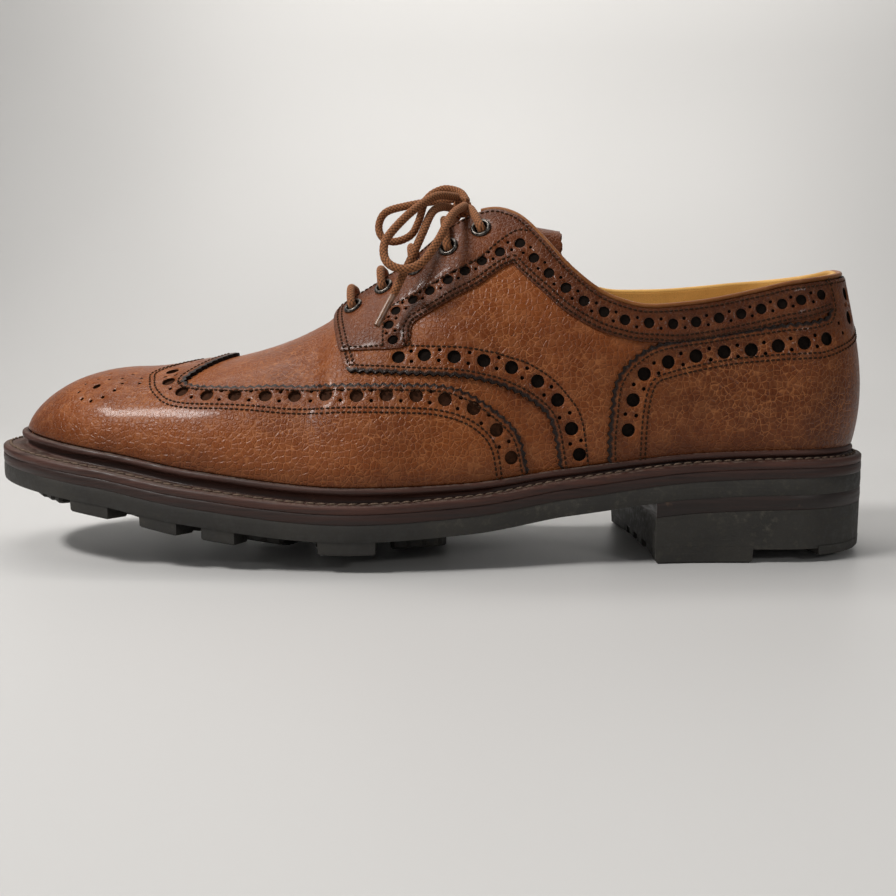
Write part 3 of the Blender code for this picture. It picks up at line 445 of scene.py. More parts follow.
def on_wall(pixels):
    """Rib places and heights of picture pixels on the outer wall."""
    flat = []
    for pixel in pixels:
        i, j = divmod(int(np.argmin(((SEEN - np.array(pixel)) ** 2).sum(-1))), len(SEEN_UP))
        place = np.array((SEEN_ALONG[i], SEEN_UP[j]))
        for _ in range(3):
            here = to_picture(panel_point(place[0], place[1]))
            by_along = (to_picture(panel_point(place[0] + 0.2, place[1])) - here) / 0.2
            by_up = (to_picture(panel_point(place[0], place[1] + 0.002)) - here) / 0.002
            turn = np.stack([by_along, by_up], 1)
            if abs(np.linalg.det(turn)) > 1.0:
                step = np.linalg.solve(turn, np.array(pixel) - here)
                place = place + np.clip(step, (-3, -0.03), (3, 0.03))
        place[1] = np.clip(place[1], 0.0, 1.0)
        flat.append(place)
    return np.array(flat)


# Lines on the leather

def run_length(path):
    """How far each point of a path lies from its start."""
    return np.concatenate([[0.0], np.cumsum(np.linalg.norm(np.diff(path, axis=0), axis=1))])


def smoothed(line, times):
    """A line whose inner points are drawn towards their neighbours."""
    for _ in range(times):
        line[1:-1] = (line[:-2] + 2 * line[1:-1] + line[2:]) / 4
    return line


def smooth_line(points, step):
    """A smooth line through a few given points, cut about a step apart."""
    points = [np.array(p, float) for p in points]
    padded = [2 * points[0] - points[1], *points, 2 * points[-1] - points[-2]]
    out = [points[0]]
    for a, b, c, d in zip(padded, padded[1:], padded[2:], padded[3:]):
        count = max(1, round(np.linalg.norm(c - b) / step))
        for k in range(1, count + 1):
            u = k / count
            bend = (2 * a - 5 * b + 4 * c - d) * u**2 + (3 * b - a - 3 * c + d) * u**3
            out.append(0.5 * (2 * b + (c - a) * u + bend))
    return np.array(out)


def flat_curve(flat, corners=()):
    """A smooth flat line through given places, sharp at the numbered corners."""
    scaled = np.array(flat) * (1.0, UP_SCALE)
    stops = [0, *corners, len(scaled) - 1]
    parts = [smooth_line(scaled[a:b + 1], 1.5) for a, b in zip(stops, stops[1:])]
    line = np.concatenate([parts[0], *(p[1:] for p in parts[1:])])
    return line / (1.0, UP_SCALE)


def surface(chart, flat):
    """Points, directions along and up and normals of a chart at flat places."""
    u = flat[:, 0]
    v = flat[:, 1]
    none = np.zeros(len(u))
    here = chart(u, v, none)
    normal = chart(u, v, none + 1.0) - here
    normal = normal / np.maximum(np.linalg.norm(normal, axis=1, keepdims=True), 1e-9)
    by_u = (chart(u + 0.1, v, none) - chart(u - 0.1, v, none)) / 0.2
    by_v = (chart(u, v + 0.002, none) - chart(u, v - 0.002, none)) / 0.004
    return here, by_u, by_v, normal


def stepped(flat, by_u, by_v, reach):
    """Flat places after a step of the given reach over the surface."""
    a = (by_u * by_u).sum(1)
    b = (by_u * by_v).sum(1)
    c = (by_v * by_v).sum(1)
    p = (reach * by_u).sum(1)
    q = (reach * by_v).sum(1)
    area = np.maximum(a * c - b * b, 1e-6)
    return flat + np.stack([(c * p - b * q) / area, (a * q - b * p) / area], 1)


def even_line(chart, flat, step):
    """A flat line cut into even real steps."""
    flat = np.array(flat)
    share = np.linspace(0, 1, 6)[:-1]
    fine = np.concatenate([a + (b - a) * share[:, None] for a, b in zip(flat, flat[1:])] + [flat[-1:]])
    real = chart(fine[:, 0], fine[:, 1], np.zeros(len(fine)))
    length = run_length(real)
    count = max(2, round(length[-1] / step) + 1)
    wanted = np.linspace(0, length[-1], count)
    return np.stack([np.interp(wanted, length, fine[:, k]) for k in (0, 1)], 1)


def sidestep(chart, line, reach):
    """A line moved sideways over the surface, to the left of its run seen from outside."""
    here, by_u, by_v, normal = surface(chart, line)
    way = np.gradient(here, axis=0)
    way = way / np.maximum(np.linalg.norm(way, axis=1, keepdims=True), 1e-9)
    side = np.cross(normal, way)
    return stepped(line, by_u, by_v, side * np.asarray(reach).reshape(-1, 1))


def gimped(chart, line, depth=GIMP_DEPTH):
    """A line cut into the small teeth of a gimped edge; teeth point to the left of its run."""
    even = even_line(chart, line, GIMP_PITCH / 2)
    teeth = np.where(np.arange(len(even)) % 2 == 1, depth, 0.0)
    teeth[0] = 0.0
    teeth[-1] = 0.0
    return sidestep(chart, even, teeth)


def rings(chart, holes, grow=0.0):
    """True circles on the surface, for holes given as flat place, radius and number of sides."""
    flat = np.array([h[0] for h in holes])
    _, by_u, by_v, normal = surface(chart, flat)
    first = by_u / np.linalg.norm(by_u, axis=1, keepdims=True)
    second = np.cross(normal, first)
    circles = []
    for i, (_, radius, count) in enumerate(holes):
        turn = np.linspace(0, 2 * math.pi, count, endpoint=False)[:, None]
        reach = (radius + grow) * (np.cos(turn) * first[i] + np.sin(turn) * second[i])
        tile = [np.repeat(a[i:i + 1], count, 0) for a in (flat, by_u, by_v)]
        circles.append(stepped(*tile, reach))
    return circles


def in_polygon(points, polygon):
    """Which points lie inside a closed polygon."""
    inside = np.zeros(len(points), bool)
    x = points[:, 0]
    y = points[:, 1]
    for (x0, y0), (x1, y1) in zip(polygon, np.roll(polygon, -1, axis=0)):
        crosses = (y0 > y) != (y1 > y)
        inside ^= crosses & (x < (x1 - x0) * (y - y0) / np.where(y1 == y0, 1e-12, y1 - y0) + x0)
    return inside


# Meshes

def add_piece(name, points, faces, finishes, kinds=None, merge=0.0, soft_angle=40.0):
    """A piece of the shoe from points in millimetres on the last; kinds gives each face's finish."""
    mesh = bpy.data.meshes.new(name)
    places = (np.asarray(points, float) + PLACE) * MM
    mesh.from_pydata(places.tolist(), [], [tuple(int(i) for i in f) for f in faces])
    for finish in finishes:
        mesh.materials.append(finish)
    if kinds is not None:
        mesh.polygons.foreach_set("material_index", np.asarray(kinds, np.int32))
    work = bmesh.new()
    work.from_mesh(mesh)
    if merge:
        bmesh.ops.remove_doubles(work, verts=work.verts, dist=merge * MM)
        bmesh.ops.dissolve_degenerate(work, edges=work.edges, dist=0.002 * MM)
    bmesh.ops.recalc_face_normals(work, faces=work.faces)
    if work.calc_volume(signed=True) < 0:
        bmesh.ops.reverse_faces(work, faces=work.faces)
    work.to_mesh(mesh)
    work.free()
    mesh.shade_smooth()
    mesh.set_sharp_from_angle(angle=math.radians(soft_angle))
    made = bpy.data.objects.new(name, mesh)
    bpy.context.scene.collection.objects.link(made)
    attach(made, "root")
    return made


def give(made, name, values):
    """Stores one number for each point of a piece, for its finish to read."""
    field = made.data.attributes.new(name, "FLOAT", "POINT")
    field.data.foreach_set("value", np.asarray(values, np.float32))


FAR_FROM_EDGE = 8.0


def bare_edges(made):
    """Says that a piece has no burnished or blackened edge and no painted edge shade."""
    for word in ("rim", "ink"):
        give(made, word, np.full(len(made.data.vertices), FAR_FROM_EDGE))


def tree_of(points):
    """Search tree of flat or solid points."""
    tree = KDTree(len(points))
    for i, p in enumerate(points):
        tree.insert(p if len(p) == 3 else (*p, 0.0), i)
    tree.balance()
    return tree


def far_from(points, others, least):
    """The points that keep a least distance from some others, on the flat pattern."""
    scale = np.array((1.0, UP_SCALE))
    tree = tree_of([tuple(p) for p in np.asarray(others) * scale])
    keep = [tree.find((*p, 0.0))[2] > least for p in np.asarray(points) * scale]
    return np.asarray(points)[keep]


def cut_panel(name, chart, outline, base, lower, upper, cell, holes, finishes, ink=None,
              pit=1.25):
    """A leather panel with rolled edges and punched pits, cut flat and laid on the last.

    outline is the cut edge and base the same edge without teeth; holes are flat places, radius and sides. The
    edges named in ink are blackened."""
    scale = np.array((1.0, UP_SCALE))
    loops = [np.asarray(outline), *rings(chart, holes)]
    halo = np.concatenate(rings(chart, holes, 0.45))
    halo = halo[in_polygon(halo * scale, loops[0] * scale)]
    halo = far_from(halo, np.concatenate(loops), 0.3)
    edge_in = sidestep(chart, base, 1.0)
    if in_polygon(edge_in * scale, loops[0] * scale).mean() <= 0.5:
        edge_in = sidestep(chart, base, -1.0)
    edge_in = edge_in[in_polygon(edge_in * scale, loops[0] * scale)]
    edge_in = far_from(edge_in, np.concatenate(loops), 0.5)
    edge_in = far_from(edge_in, halo, 0.5)
    near = np.concatenate([*loops, edge_in, halo])
    low = loops[0].min(0)
    high = loops[0].max(0)
    across = np.arange(low[0] + cell / 2, high[0], cell)
    rise = cell / UP_SCALE * 0.9
    upward = np.arange(low[1] + rise / 2, high[1], rise)
    inner = np.stack(np.meshgrid(across, upward), -1)
    inner[1::2, :, 0] += cell / 2
    inner = inner.reshape(-1, 2)
    inner = inner[in_polygon(inner * scale, loops[0] * scale)]
    inner = far_from(inner, near, cell * 0.62)
    inner = far_from(inner, np.array([h[0] for h in holes]), 2.4)
    flat = []
    edges = []
    owner = []
    for k, loop in enumerate(loops):
        owner.extend([k - 1] * len(loop))
        start = len(flat)
        flat.extend(map(tuple, loop * scale))
        edges.extend((start + i, start + (i + 1) % len(loop)) for i in range(len(loop)))
    rim_count = len(flat)
    flat.extend(map(tuple, np.concatenate([edge_in, halo, inner]) * scale))
    places, _, tris, origins, *_ = delaunay_2d_cdt(flat, edges, [], 0, 1e-5)
    places = np.array([tuple(p) for p in places])
    middles = np.array([places[list(t)].mean(0) for t in tris])
    inside = in_polygon(middles, loops[0] * scale)
    which = np.full(len(tris), -1)
    for k, loop in enumerate(loops[1:]):
        box = (np.abs(middles - (loop * scale).mean(0)) < 12).all(1)
        box[box] = in_polygon(middles[box], loop * scale)
        which[box] = k
    flat_places = places / scale
    count = len(places)
    on_rim = np.array([any(o < rim_count for o in origin) for origin in origins])
    height = np.where(on_rim, upper - 0.3, upper)
    top = chart(flat_places[:, 0], flat_places[:, 1], height)
    under = chart(flat_places[:, 0], flat_places[:, 1], np.full(count, lower))
    points = [*top, *under]
    faces = []
    kinds = []
    border = {}
    for t, k, keep in zip(tris, which, inside):
        if not keep:
            continue
        faces.append(tuple(reversed([i + count for i in t])))
        kinds.append(1)
        if k < 0:
            faces.append(tuple(t))
            kinds.append(0)
            for a, b in zip(t, (*t[1:], t[0])):
                border[(a, b)] = True
    # Hole walls and floors take the panel's third finish, which paints the shade inside the holes.
    in_hole = np.array([any(o < rim_count and owner[o] >= 0 for o in origin) for origin in origins])
    floors = chart(flat_places[:, 0], flat_places[:, 1], np.full(count, upper - pit))
    floor_of = {}
    for a, b in border:
        if (b, a) in border:
            continue
        if in_hole[a] and in_hole[b]:
            for i in (a, b):
                if i not in floor_of:
                    floor_of[i] = len(points)
                    points.append(floors[i])
            faces.append((b, a, floor_of[a], floor_of[b]))
            kinds.append(2)
        else:
            faces.append((b, a, a + count, b + count))
            kinds.append(1)
    for t, k, keep in zip(tris, which, inside):
        if keep and k >= 0 and all(i in floor_of for i in t):
            faces.append(tuple(floor_of[i] for i in t))
            kinds.append(2)
    made = add_piece(name, points, faces, finishes, kinds)
    for word, line in (("rim", loops[0]), ("ink", ink)):
        if line is None:
            give(made, word, np.full(len(points), FAR_FROM_EDGE))
            continue
        line_tree = tree_of([tuple(p) for p in chart(line[:, 0], line[:, 1], np.full(len(line), upper))])
        give(made, word, [min(FAR_FROM_EDGE, line_tree.find(p)[2]) for p in points])
    return made


# Rows of holes and stitches

def punched(chart, centres, row=WIDE_ROW):
    """A band of big holes with a pair of pinholes between each two."""
    radius, pin, sides, spread = row
    centres = np.array(centres)
    holes = [(c, radius, sides) for c in centres]
    middles = (centres[1:] + centres[:-1]) / 2
    apart = centres[1:] - centres[:-1]
    _, by_u, by_v, normal = surface(chart, middles)
    way = by_u * apart[:, :1] + by_v * apart[:, 1:]
    way = way / np.linalg.norm(way, axis=1, keepdims=True)
    side = np.cross(normal, way)
    for sign in (-1, 1):
        holes.extend((c, pin, PIN_SIDES) for c in stepped(middles, by_u, by_v, side * spread * sign))
    return holes


def mirrored(flat):
    """The same places on the other wall of the forepart chart."""
    flat = np.array(flat)
    return np.stack([flat[:, 0], 2 - flat[:, 1]], 1)


stitch_rows = {}


def stitch(part, chart, line, lift, gap=0.0):
    """Adds a row of stitches on a line of a part; with a gap, a double row."""
    for side in ((-gap / 2, gap / 2) if gap else (0.0,)):
        row = even_line(chart, line, STITCH_PITCH)
        if side:
            row = sidestep(chart, row, side)
        here, _, _, normal = surface(chart, row)
        way = np.gradient(here, axis=0)
        stitch_rows.setdefault(part, []).append((here + normal * (lift + STITCH_LIFT), way, normal))


STITCH_WORDS = ("Stitch Length", "Stitch Width", "Stitch Height")


def stitch_tree(name, finish):
    """Node tree that lays a rounded stitch on every point, along its way and out of the leather."""
    tree = bpy.data.node_groups.new(name, "GeometryNodeTree")
    face = tree.interface
    face.new_socket("Geometry", in_out="INPUT", socket_type="NodeSocketGeometry")
    for word in STITCH_WORDS:
        face.new_socket(word, in_out="INPUT", socket_type="NodeSocketFloat")
    face.new_socket("Geometry", in_out="OUTPUT", socket_type="NodeSocketGeometry")
    nodes = tree.nodes
    link = tree.links.new
    given = nodes.new("NodeGroupInput")
    size = nodes.new("ShaderNodeCombineXYZ")
    for axis, word in zip("XYZ", STITCH_WORDS):
        link(given.outputs[word], size.inputs[axis])
    bead = nodes.new("GeometryNodeMeshUVSphere")
    bead.inputs["Segments"].default_value = 6
    bead.inputs["Rings"].default_value = 5
    bead.inputs["Radius"].default_value = 0.5
    turn = nodes.new("GeometryNodeTransform")
    turn.inputs["Rotation"].default_value = (0.0, math.pi / 2, 0.0)
    link(bead.outputs["Mesh"], turn.inputs["Geometry"])
    shape = nodes.new("GeometryNodeTransform")
    link(turn.outputs["Geometry"], shape.inputs["Geometry"])
    link(size.outputs["Vector"], shape.inputs["Scale"])
    along = nodes.new("FunctionNodeAlignRotationToVector")
    along.axis = "X"
    upright = nodes.new("FunctionNodeAlignRotationToVector")
    upright.axis = "Z"
    upright.pivot_axis = "X"
    link(along.outputs["Rotation"], upright.inputs["Rotation"])
    for word, aligned in (("way", along), ("out", upright)):
        kept = nodes.new("GeometryNodeInputNamedAttribute")
        kept.data_type = "FLOAT_VECTOR"
        kept.inputs["Name"].default_value = word
        link(kept.outputs["Attribute"], aligned.inputs["Vector"])
    lay = nodes.new("GeometryNodeInstanceOnPoints")
    link(given.outputs["Geometry"], lay.inputs["Points"])
    link(shape.outputs["Geometry"], lay.inputs["Instance"])
    link(upright.outputs["Rotation"], lay.inputs["Rotation"])
    real = nodes.new("GeometryNodeRealizeInstances")
    link(lay.outputs["Instances"], real.inputs["Geometry"])
    soft = nodes.new("GeometryNodeSetShadeSmooth")
    link(real.outputs["Geometry"], soft.inputs["Geometry"])
    paint = nodes.new("GeometryNodeSetMaterial")
    paint.inputs["Material"].default_value = finish
    link(soft.outputs["Geometry"], paint.inputs["Geometry"])
    done = nodes.new("NodeGroupOutput")
    link(paint.outputs["Geometry"], done.inputs["Geometry"])
    return tree


def sew(name, rows, tree, size):
    """Turns gathered rows into one piece of real stitches."""
    points, ways, outs = (np.concatenate(kept) for kept in zip(*rows))
    mesh = bpy.data.meshes.new(name + "_seats")
    mesh.from_pydata(((points + PLACE) * MM).tolist(), [], [])
    for word, values in (("way", ways), ("out", outs)):
        field = mesh.attributes.new(word, "FLOAT_VECTOR", "POINT")
        field.data.foreach_set("vector", values.astype(np.float32).ravel())
    seats = bpy.data.objects.new(name + "_seats", mesh)
    bpy.context.scene.collection.objects.link(seats)
    sewing = seats.modifiers.new("sewing", "NODES")
    sewing.node_group = tree
    sizes = dict(zip(STITCH_WORDS, size))
    for item in tree.interface.items_tree:
        if item.in_out == "INPUT" and item.name in sizes:
            sewing[item.identifier] = sizes[item.name] * MM
    shown = seats.evaluated_get(bpy.context.evaluated_depsgraph_get())
    done = bpy.data.objects.new(name, bpy.data.meshes.new_from_object(shown))
    bpy.context.scene.collection.objects.link(done)
    bpy.data.objects.remove(seats)
    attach(done, "root")


# Finishes

class Finish:
    """A node material under construction."""

    def __init__(self, name):
        """Starts a finish on the piece's own coordinates."""
        self.made = bpy.data.materials.new(name)
        self.made.use_nodes = True
        self.nodes = self.made.node_tree.nodes
        self.link = self.made.node_tree.links.new
        self.shader = self.nodes["Principled BSDF"]
        self.coords = self.nodes.new("ShaderNodeTexCoord").outputs["Object"]

    def set(self, **values):
        """Sets the shader's own values."""
        for word, value in values.items():
            socket = self.shader.inputs[word.replace("_", " ").title().replace("Ior", "IOR")]
            socket.default_value = value

    def node(self, kind, **values):
        """A new node with some of its values set."""
        made = self.nodes.new("ShaderNode" + kind)
        for word, value in values.items():
            made.inputs[word.replace("_", " ").title()].default_value = value
        return made

    def place(self, node, vector=None):
        """Lets a pattern follow the piece, or another vector."""
        self.link(self.coords if vector is None else vector, node.inputs["Vector"])

    def stretched(self, scale):
        """The piece's coordinates, scaled on each axis."""
        node = self.node("Mapping", scale=scale)
        self.place(node)
        return node.outputs["Vector"]

    def noise(self, scale, detail=3.0, rough=0.55, vector=None):
        """Cloudy noise."""
        node = self.node("TexNoise", scale=scale, detail=detail, roughness=rough)
        self.place(node, vector)
        return node.outputs["Fac"]

    def cells(self, scale, vector=None, evenness=0.0):
        """Distance to the edge of the nearest cell."""
        node = self.node("TexVoronoi", scale=scale, randomness=1.0 - evenness)
        node.feature = "DISTANCE_TO_EDGE"
        self.place(node, vector)
        return node.outputs["Distance"]

    def wandered(self, scale, reach):
        """The piece's coordinates, shifted a little by noise."""
        node = self.node("TexNoise", scale=scale, detail=2.0)
        self.place(node)
        shift = self.node("VectorMath")
        shift.operation = "MULTIPLY_ADD"
        shift.inputs[1].default_value = (reach, reach, reach)
        self.link(node.outputs["Color"], shift.inputs[0])
        self.link(self.coords, shift.inputs[2])
        return shift.outputs["Vector"]

    def attribute(self, word):
        """A number kept at the piece's points."""
        node = self.node("Attribute")
        node.attribute_name = word
        return node.outputs["Fac"]

    def facing_up(self):
        """Where the piece faces up, for dust."""
        node = self.node("SeparateXYZ")
        self.link(self.node("NewGeometry").outputs["Normal"], node.inputs["Vector"])
        return self.ramp(node.outputs["Z"], 0.55, 0.92)

    def ramp(self, value, low, high, start=0.0, end=1.0):
        """A soft step from one value to another."""
        node = self.node("MapRange", from_min=low, from_max=high, to_min=start, to_max=end)
        node.interpolation_type = "SMOOTHSTEP"
        self.link(value, node.inputs["Value"])
        return node.outputs["Result"]

    def fill(self, socket, value):
        """Sets a socket to a constant or links a pattern to it."""
        if isinstance(value, tuple):
            socket.default_value = (*value, 1.0)
        elif isinstance(value, (int, float)):
            socket.default_value = value
        else:
            self.link(value, socket)

    def sums(self, operation, a, b):
        """Two values put together."""
        node = self.node("Math")
        node.operation = operation
        for socket, value in zip(node.inputs, (a, b)):
            self.fill(socket, value)
        return node.outputs["Value"]

    def mix(self, share, a, b):
        """A share of colour b over colour a."""
        node = self.node("Mix")
        node.data_type = "RGBA"
        for socket, value in zip((node.inputs[0], node.inputs[6], node.inputs[7]), (share, a, b)):
            self.fill(socket, value)
        return node.outputs[2]

    def colour(self, value):
        """Gives the piece its colour."""
        self.link(value, self.shader.inputs["Base Color"])

    def roughness(self, value):
        """Gives the piece its roughness."""
        self.link(value, self.shader.inputs["Roughness"])

    def bump(self, height, reach, strength=1.0):
        """Gives the piece a fine relief of a reach in millimetres."""
        node = self.node("Bump", distance=reach * MM, strength=strength)
        self.link(height, node.inputs["Height"])
        self.link(node.outputs["Normal"], self.shader.inputs["Normal"])


def leather(name, deep, mid, pale, crackle, grain, relief):
    """Grained calf: pebble cells, pale crackle where the leather is stretched, dark burnish at cut edges, and
    a wider band of painted shade along every panel outline, the welt's edge among them.
    """
    f = Finish(name)
    way = f.wandered(260.0, 0.0010)
    pebble = f.cells(grain, way, 0.22)
    small = f.cells(grain * 2.1, way, 0.15)
    cloud = f.noise(26.0, 4.0)
    mottle = f.noise(230.0, 4.0)
    base = f.mix(f.ramp(cloud, 0.36, 0.62), deep, mid)
    base = f.mix(f.ramp(mottle, 0.40, 0.75, 0.0, 0.28), base, pale)
    stretched = f.sums("MULTIPLY", f.ramp(f.noise(34.0, 2.0), 0.32, 0.62, 0.3, 1.0),
                       f.ramp(f.noise(420.0, 2.0), 0.32, 0.62, 0.35, 1.0))
    lines = f.ramp(pebble, 0.0, 0.085, 1.0, 0.0)
    fine = f.ramp(small, 0.0, 0.07, 0.35, 0.0)
    veins = f.sums("MAXIMUM", lines, fine)
    base = f.mix(f.sums("MULTIPLY", f.sums("MULTIPLY", veins, stretched), crackle), base, pale)
    # Near the outline: a narrow real burnish at the cut edge, and a wider, fainter darkening that is painted
    # shade along the welt and the seams.
    edge = f.attribute("rim")
    burnish_and_edge_shade = f.sums("MAXIMUM", f.ramp(edge, 0.1, 2.0, 0.55, 0.0), f.ramp(edge, 0.0, 10.0, 0.38, 0.0))
    base = f.mix(burnish_and_edge_shade, base, tuple(0.35 * c for c in deep))
    base = f.mix(f.ramp(f.attribute("ink"), 0.7, 1.3, 0.95, 0.0), base, (0.008, 0.006, 0.005))
    f.colour(base)
    f.roughness(f.ramp(f.sums("ADD", f.sums("MULTIPLY", veins, 0.3), mottle), 0.3, 1.0, 0.30, 0.52))
    height = f.sums("ADD", f.ramp(pebble, 0.0, 0.18), f.sums("MULTIPLY", f.ramp(small, 0.0, 0.2), 0.22))
    height = f.sums("ADD", height, f.sums("MULTIPLY", f.noise(2300.0, 2.0), 0.2))
    f.bump(height, relief, 0.7)
    f.set(specular_ior_level=0.19, coat_weight=0.08, coat_roughness=0.14)
    return f.made


def plain_dark(name, colour, rough, relief=0.08):
    """A dark cut edge, thread or punched hole with a little unevenness; in a hole the dark colour is painted
    shade.
    """
    f = Finish(name)
    speck = f.noise(900.0, 3.0)
    f.colour(f.mix(f.ramp(speck, 0.3, 0.7), colour, tuple(1.9 * c for c in colour)))
    f.roughness(f.ramp(speck, 0.2, 0.8, rough - 0.08, rough + 0.08))
    f.bump(speck, relief)
    f.set(specular_ior_level=0.07)
    return f.made


def sole_leather(name, dark, warm, pale):
    """Waxed sole leather: streaks along the edge, a few worn spots."""
    f = Finish(name)
    streak = f.noise(1.0, 4.0, 0.6, f.stretched((45.0, 45.0, 900.0)))
    cloud = f.noise(40.0, 3.0)
    base = f.mix(f.ramp(streak, 0.32, 0.70), dark, warm)
    worn = f.sums("MULTIPLY", f.ramp(f.noise(130.0, 4.0, 0.7), 0.60, 0.74), f.ramp(cloud, 0.46, 0.68))
    base = f.mix(f.sums("MULTIPLY", worn, 0.55), base, pale)
    dust = f.sums("MULTIPLY", f.facing_up(), f.ramp(f.noise(520.0, 4.0, 0.7), 0.40, 0.66))
    base = f.mix(f.sums("MULTIPLY", dust, 0.4), base, (0.17, 0.135, 0.105))
    f.colour(base)
    f.roughness(f.ramp(f.sums("ADD", streak, dust), 0.25, 0.9, 0.40, 0.75))
    f.bump(f.sums("ADD", streak, f.sums("MULTIPLY", f.noise(700.0, 3.0), 0.5)), 0.12, 0.7)
    f.set(specular_ior_level=0.4)
    return f.made


def rubber():
    """Dark grey-green rubber with fine grain, dust and scuffs."""
    f = Finish("lug_rubber")
    cloud = f.noise(38.0, 4.0)
    dust = f.noise(420.0, 4.0, 0.7)
    base = f.mix(f.ramp(cloud, 0.34, 0.68), (0.014, 0.0125, 0.0105), (0.026, 0.0235, 0.019))
    patch = f.ramp(f.noise(24.0, 3.0), 0.42, 0.66, 0.12, 0.6)
    base = f.mix(f.sums("MULTIPLY", f.ramp(dust, 0.46, 0.74), patch), base, (0.085, 0.078, 0.062))
    scratch = f.noise(1.0, 3.0, 0.6, f.stretched((60.0, 60.0, 1300.0)))
    base = f.mix(f.ramp(scratch, 0.62, 0.78, 0.0, 0.3), base, (0.075, 0.068, 0.055))
    f.colour(base)
    f.roughness(f.ramp(dust, 0.3, 0.7, 0.55, 0.82))
    f.bump(f.sums("ADD", dust, scratch), 0.10, 0.6)
    return f.made


def lining():
    """Smooth tan lining leather with fine pores."""
    f = Finish("tan_lining")
    cloud = f.noise(45.0, 4.0)
    base = f.mix(f.ramp(cloud, 0.3, 0.7), (0.56, 0.30, 0.065), (0.74, 0.43, 0.115))
    pores = f.cells(1500.0)
    f.colour(f.mix(f.ramp(pores, 0.0, 0.12, 0.25, 0.0), base, (0.25, 0.12, 0.03)))
    f.roughness(f.ramp(cloud, 0.2, 0.8, 0.5, 0.68))
    f.bump(f.ramp(pores, 0.0, 0.3), 0.06, 0.6)
    return f.made


def cotton():
    """Braided lace: paler crowns, painted shade in the grooves between strands, faint fuzz."""
    f = Finish("brown_braid")
    crown = f.attribute("braid")
    fibre = f.noise(2600.0, 3.0, 0.7)
    # The grooves between strands are painted nearly black: painted shade in the braid's recesses.
    base = f.mix(f.ramp(crown, 0.20, 0.85), (0.030, 0.010, 0.004), (0.30, 0.118, 0.047))
    base = f.mix(f.ramp(fibre, 0.45, 0.75, 0.0, 0.30), base, (0.38, 0.175, 0.085))
    f.colour(base)
    f.bump(fibre, 0.12, 0.6)
    f.set(roughness=0.85, sheen_weight=0.15, sheen_roughness=0.5, specular_ior_level=0.2)
    f.shader.inputs["Sheen Tint"].default_value = (0.9, 0.6, 0.4, 1.0)
    return f.made


def gunmetal():
    """Dark metal, worn paler in spots."""
    f = Finish("gunmetal")
    wear = f.noise(900.0, 3.0)
    f.colour(f.mix(f.ramp(wear, 0.4, 0.7), (0.045, 0.040, 0.036), (0.16, 0.145, 0.13)))
    f.roughness(f.ramp(wear, 0.3, 0.7, 0.22, 0.42))
    f.bump(wear, 0.03, 0.4)
    f.set(metallic=0.9)
    return f.made


def clear_tip():
    """The lace's end under a clear wrap."""
    f = Finish("clear_lace_tip")
    cloud = f.noise(500.0, 2.0)
    f.colour(f.mix(f.ramp(cloud, 0.3, 0.7), (0.13, 0.060, 0.032), (0.23, 0.125, 0.075)))
    f.roughness(f.ramp(cloud, 0.3, 0.7, 0.28, 0.40))
    f.set(coat_weight=0.2, coat_roughness=0.2, specular_ior_level=0.4)
    return f.made


CALF = leather("grained_calf", (0.136, 0.0325, 0.0072), (0.208, 0.0545, 0.0118), (0.39, 0.146, 0.050),
               0.8, 520.0, 0.17)
# The counter's calf is the same leather painted darker: painted shade for the back of the shoe, which gets
# less light.
SHADED_HEEL_CALF = leather("heel_calf_painted_shade", (0.094, 0.0215, 0.0048), (0.155, 0.0385, 0.0078), (0.35, 0.132, 0.045),
                    0.85, 520.0, 0.17)
TRIM = leather("brogue_calf", (0.078, 0.0185, 0.0050), (0.132, 0.0330, 0.0082), (0.27, 0.098, 0.036),
               0.6, 640.0, 0.14)
PIPING = leather("collar_calf", (0.170, 0.056, 0.014), (0.270, 0.100, 0.026), (0.38, 0.165, 0.055),
                 0.15, 980.0, 0.07)
CUT = plain_dark("burnished_cut_edge", (0.010, 0.006, 0.005), 0.62)
# The punched holes' walls and floors are painted near black, and dark brown in the wing, where the leather
# beneath is darkened: painted shade inside the holes.
PAINTED_SHADE_PIT = plain_dark("punched_hole_painted_shade", (0.006, 0.004, 0.003), 0.9)
PAINTED_SHADE_WING_PIT = plain_dark("punched_hole_brown_painted_shade", (0.030, 0.012, 0.006), 0.85)
THREAD = plain_dark("dark_thread", (0.022, 0.011, 0.006), 0.8)
WELT_THREAD = plain_dark("welt_thread", (0.085, 0.060, 0.044), 0.75)
WELT = sole_leather("burgundy_welt", (0.030, 0.0105, 0.0068), (0.066, 0.023, 0.0145), (0.16, 0.070, 0.035))
MIDSOLE = sole_leather("brown_midsole", (0.016, 0.0075, 0.0055), (0.034, 0.0135, 0.0095),
                       (0.18, 0.080, 0.032))
HEEL_LEATHER = sole_leather("dark_heel_leather", (0.014, 0.009, 0.0075), (0.026, 0.014, 0.0115),
                            (0.11, 0.060, 0.035))
RUBBER = rubber()
LINING = lining()
COTTON = cotton()
GUNMETAL = gunmetal()
TIP = clear_tip()


# Laces

BRAID_TURNS = 32
BRAID_STRANDS = 3
BRAID_LAY = 8.2
BRAID_RELIEF = 0.13
BRAID_STEP = 0.30
TUBE_TURNS = 14


def cord_frame(path, start):
    """Two directions across a path at each of its points, without twist."""
    way = np.gradient(path, axis=0)
    way = way / np.linalg.norm(way, axis=1, keepdims=True)
    side = np.cross(way[0], start)
    sides = []
    for w in way:
        side = side - (side @ w) * w
        side = side / np.linalg.norm(side)
        sides.append(side)
    sides = np.array(sides)
    return sides, np.cross(way, sides)


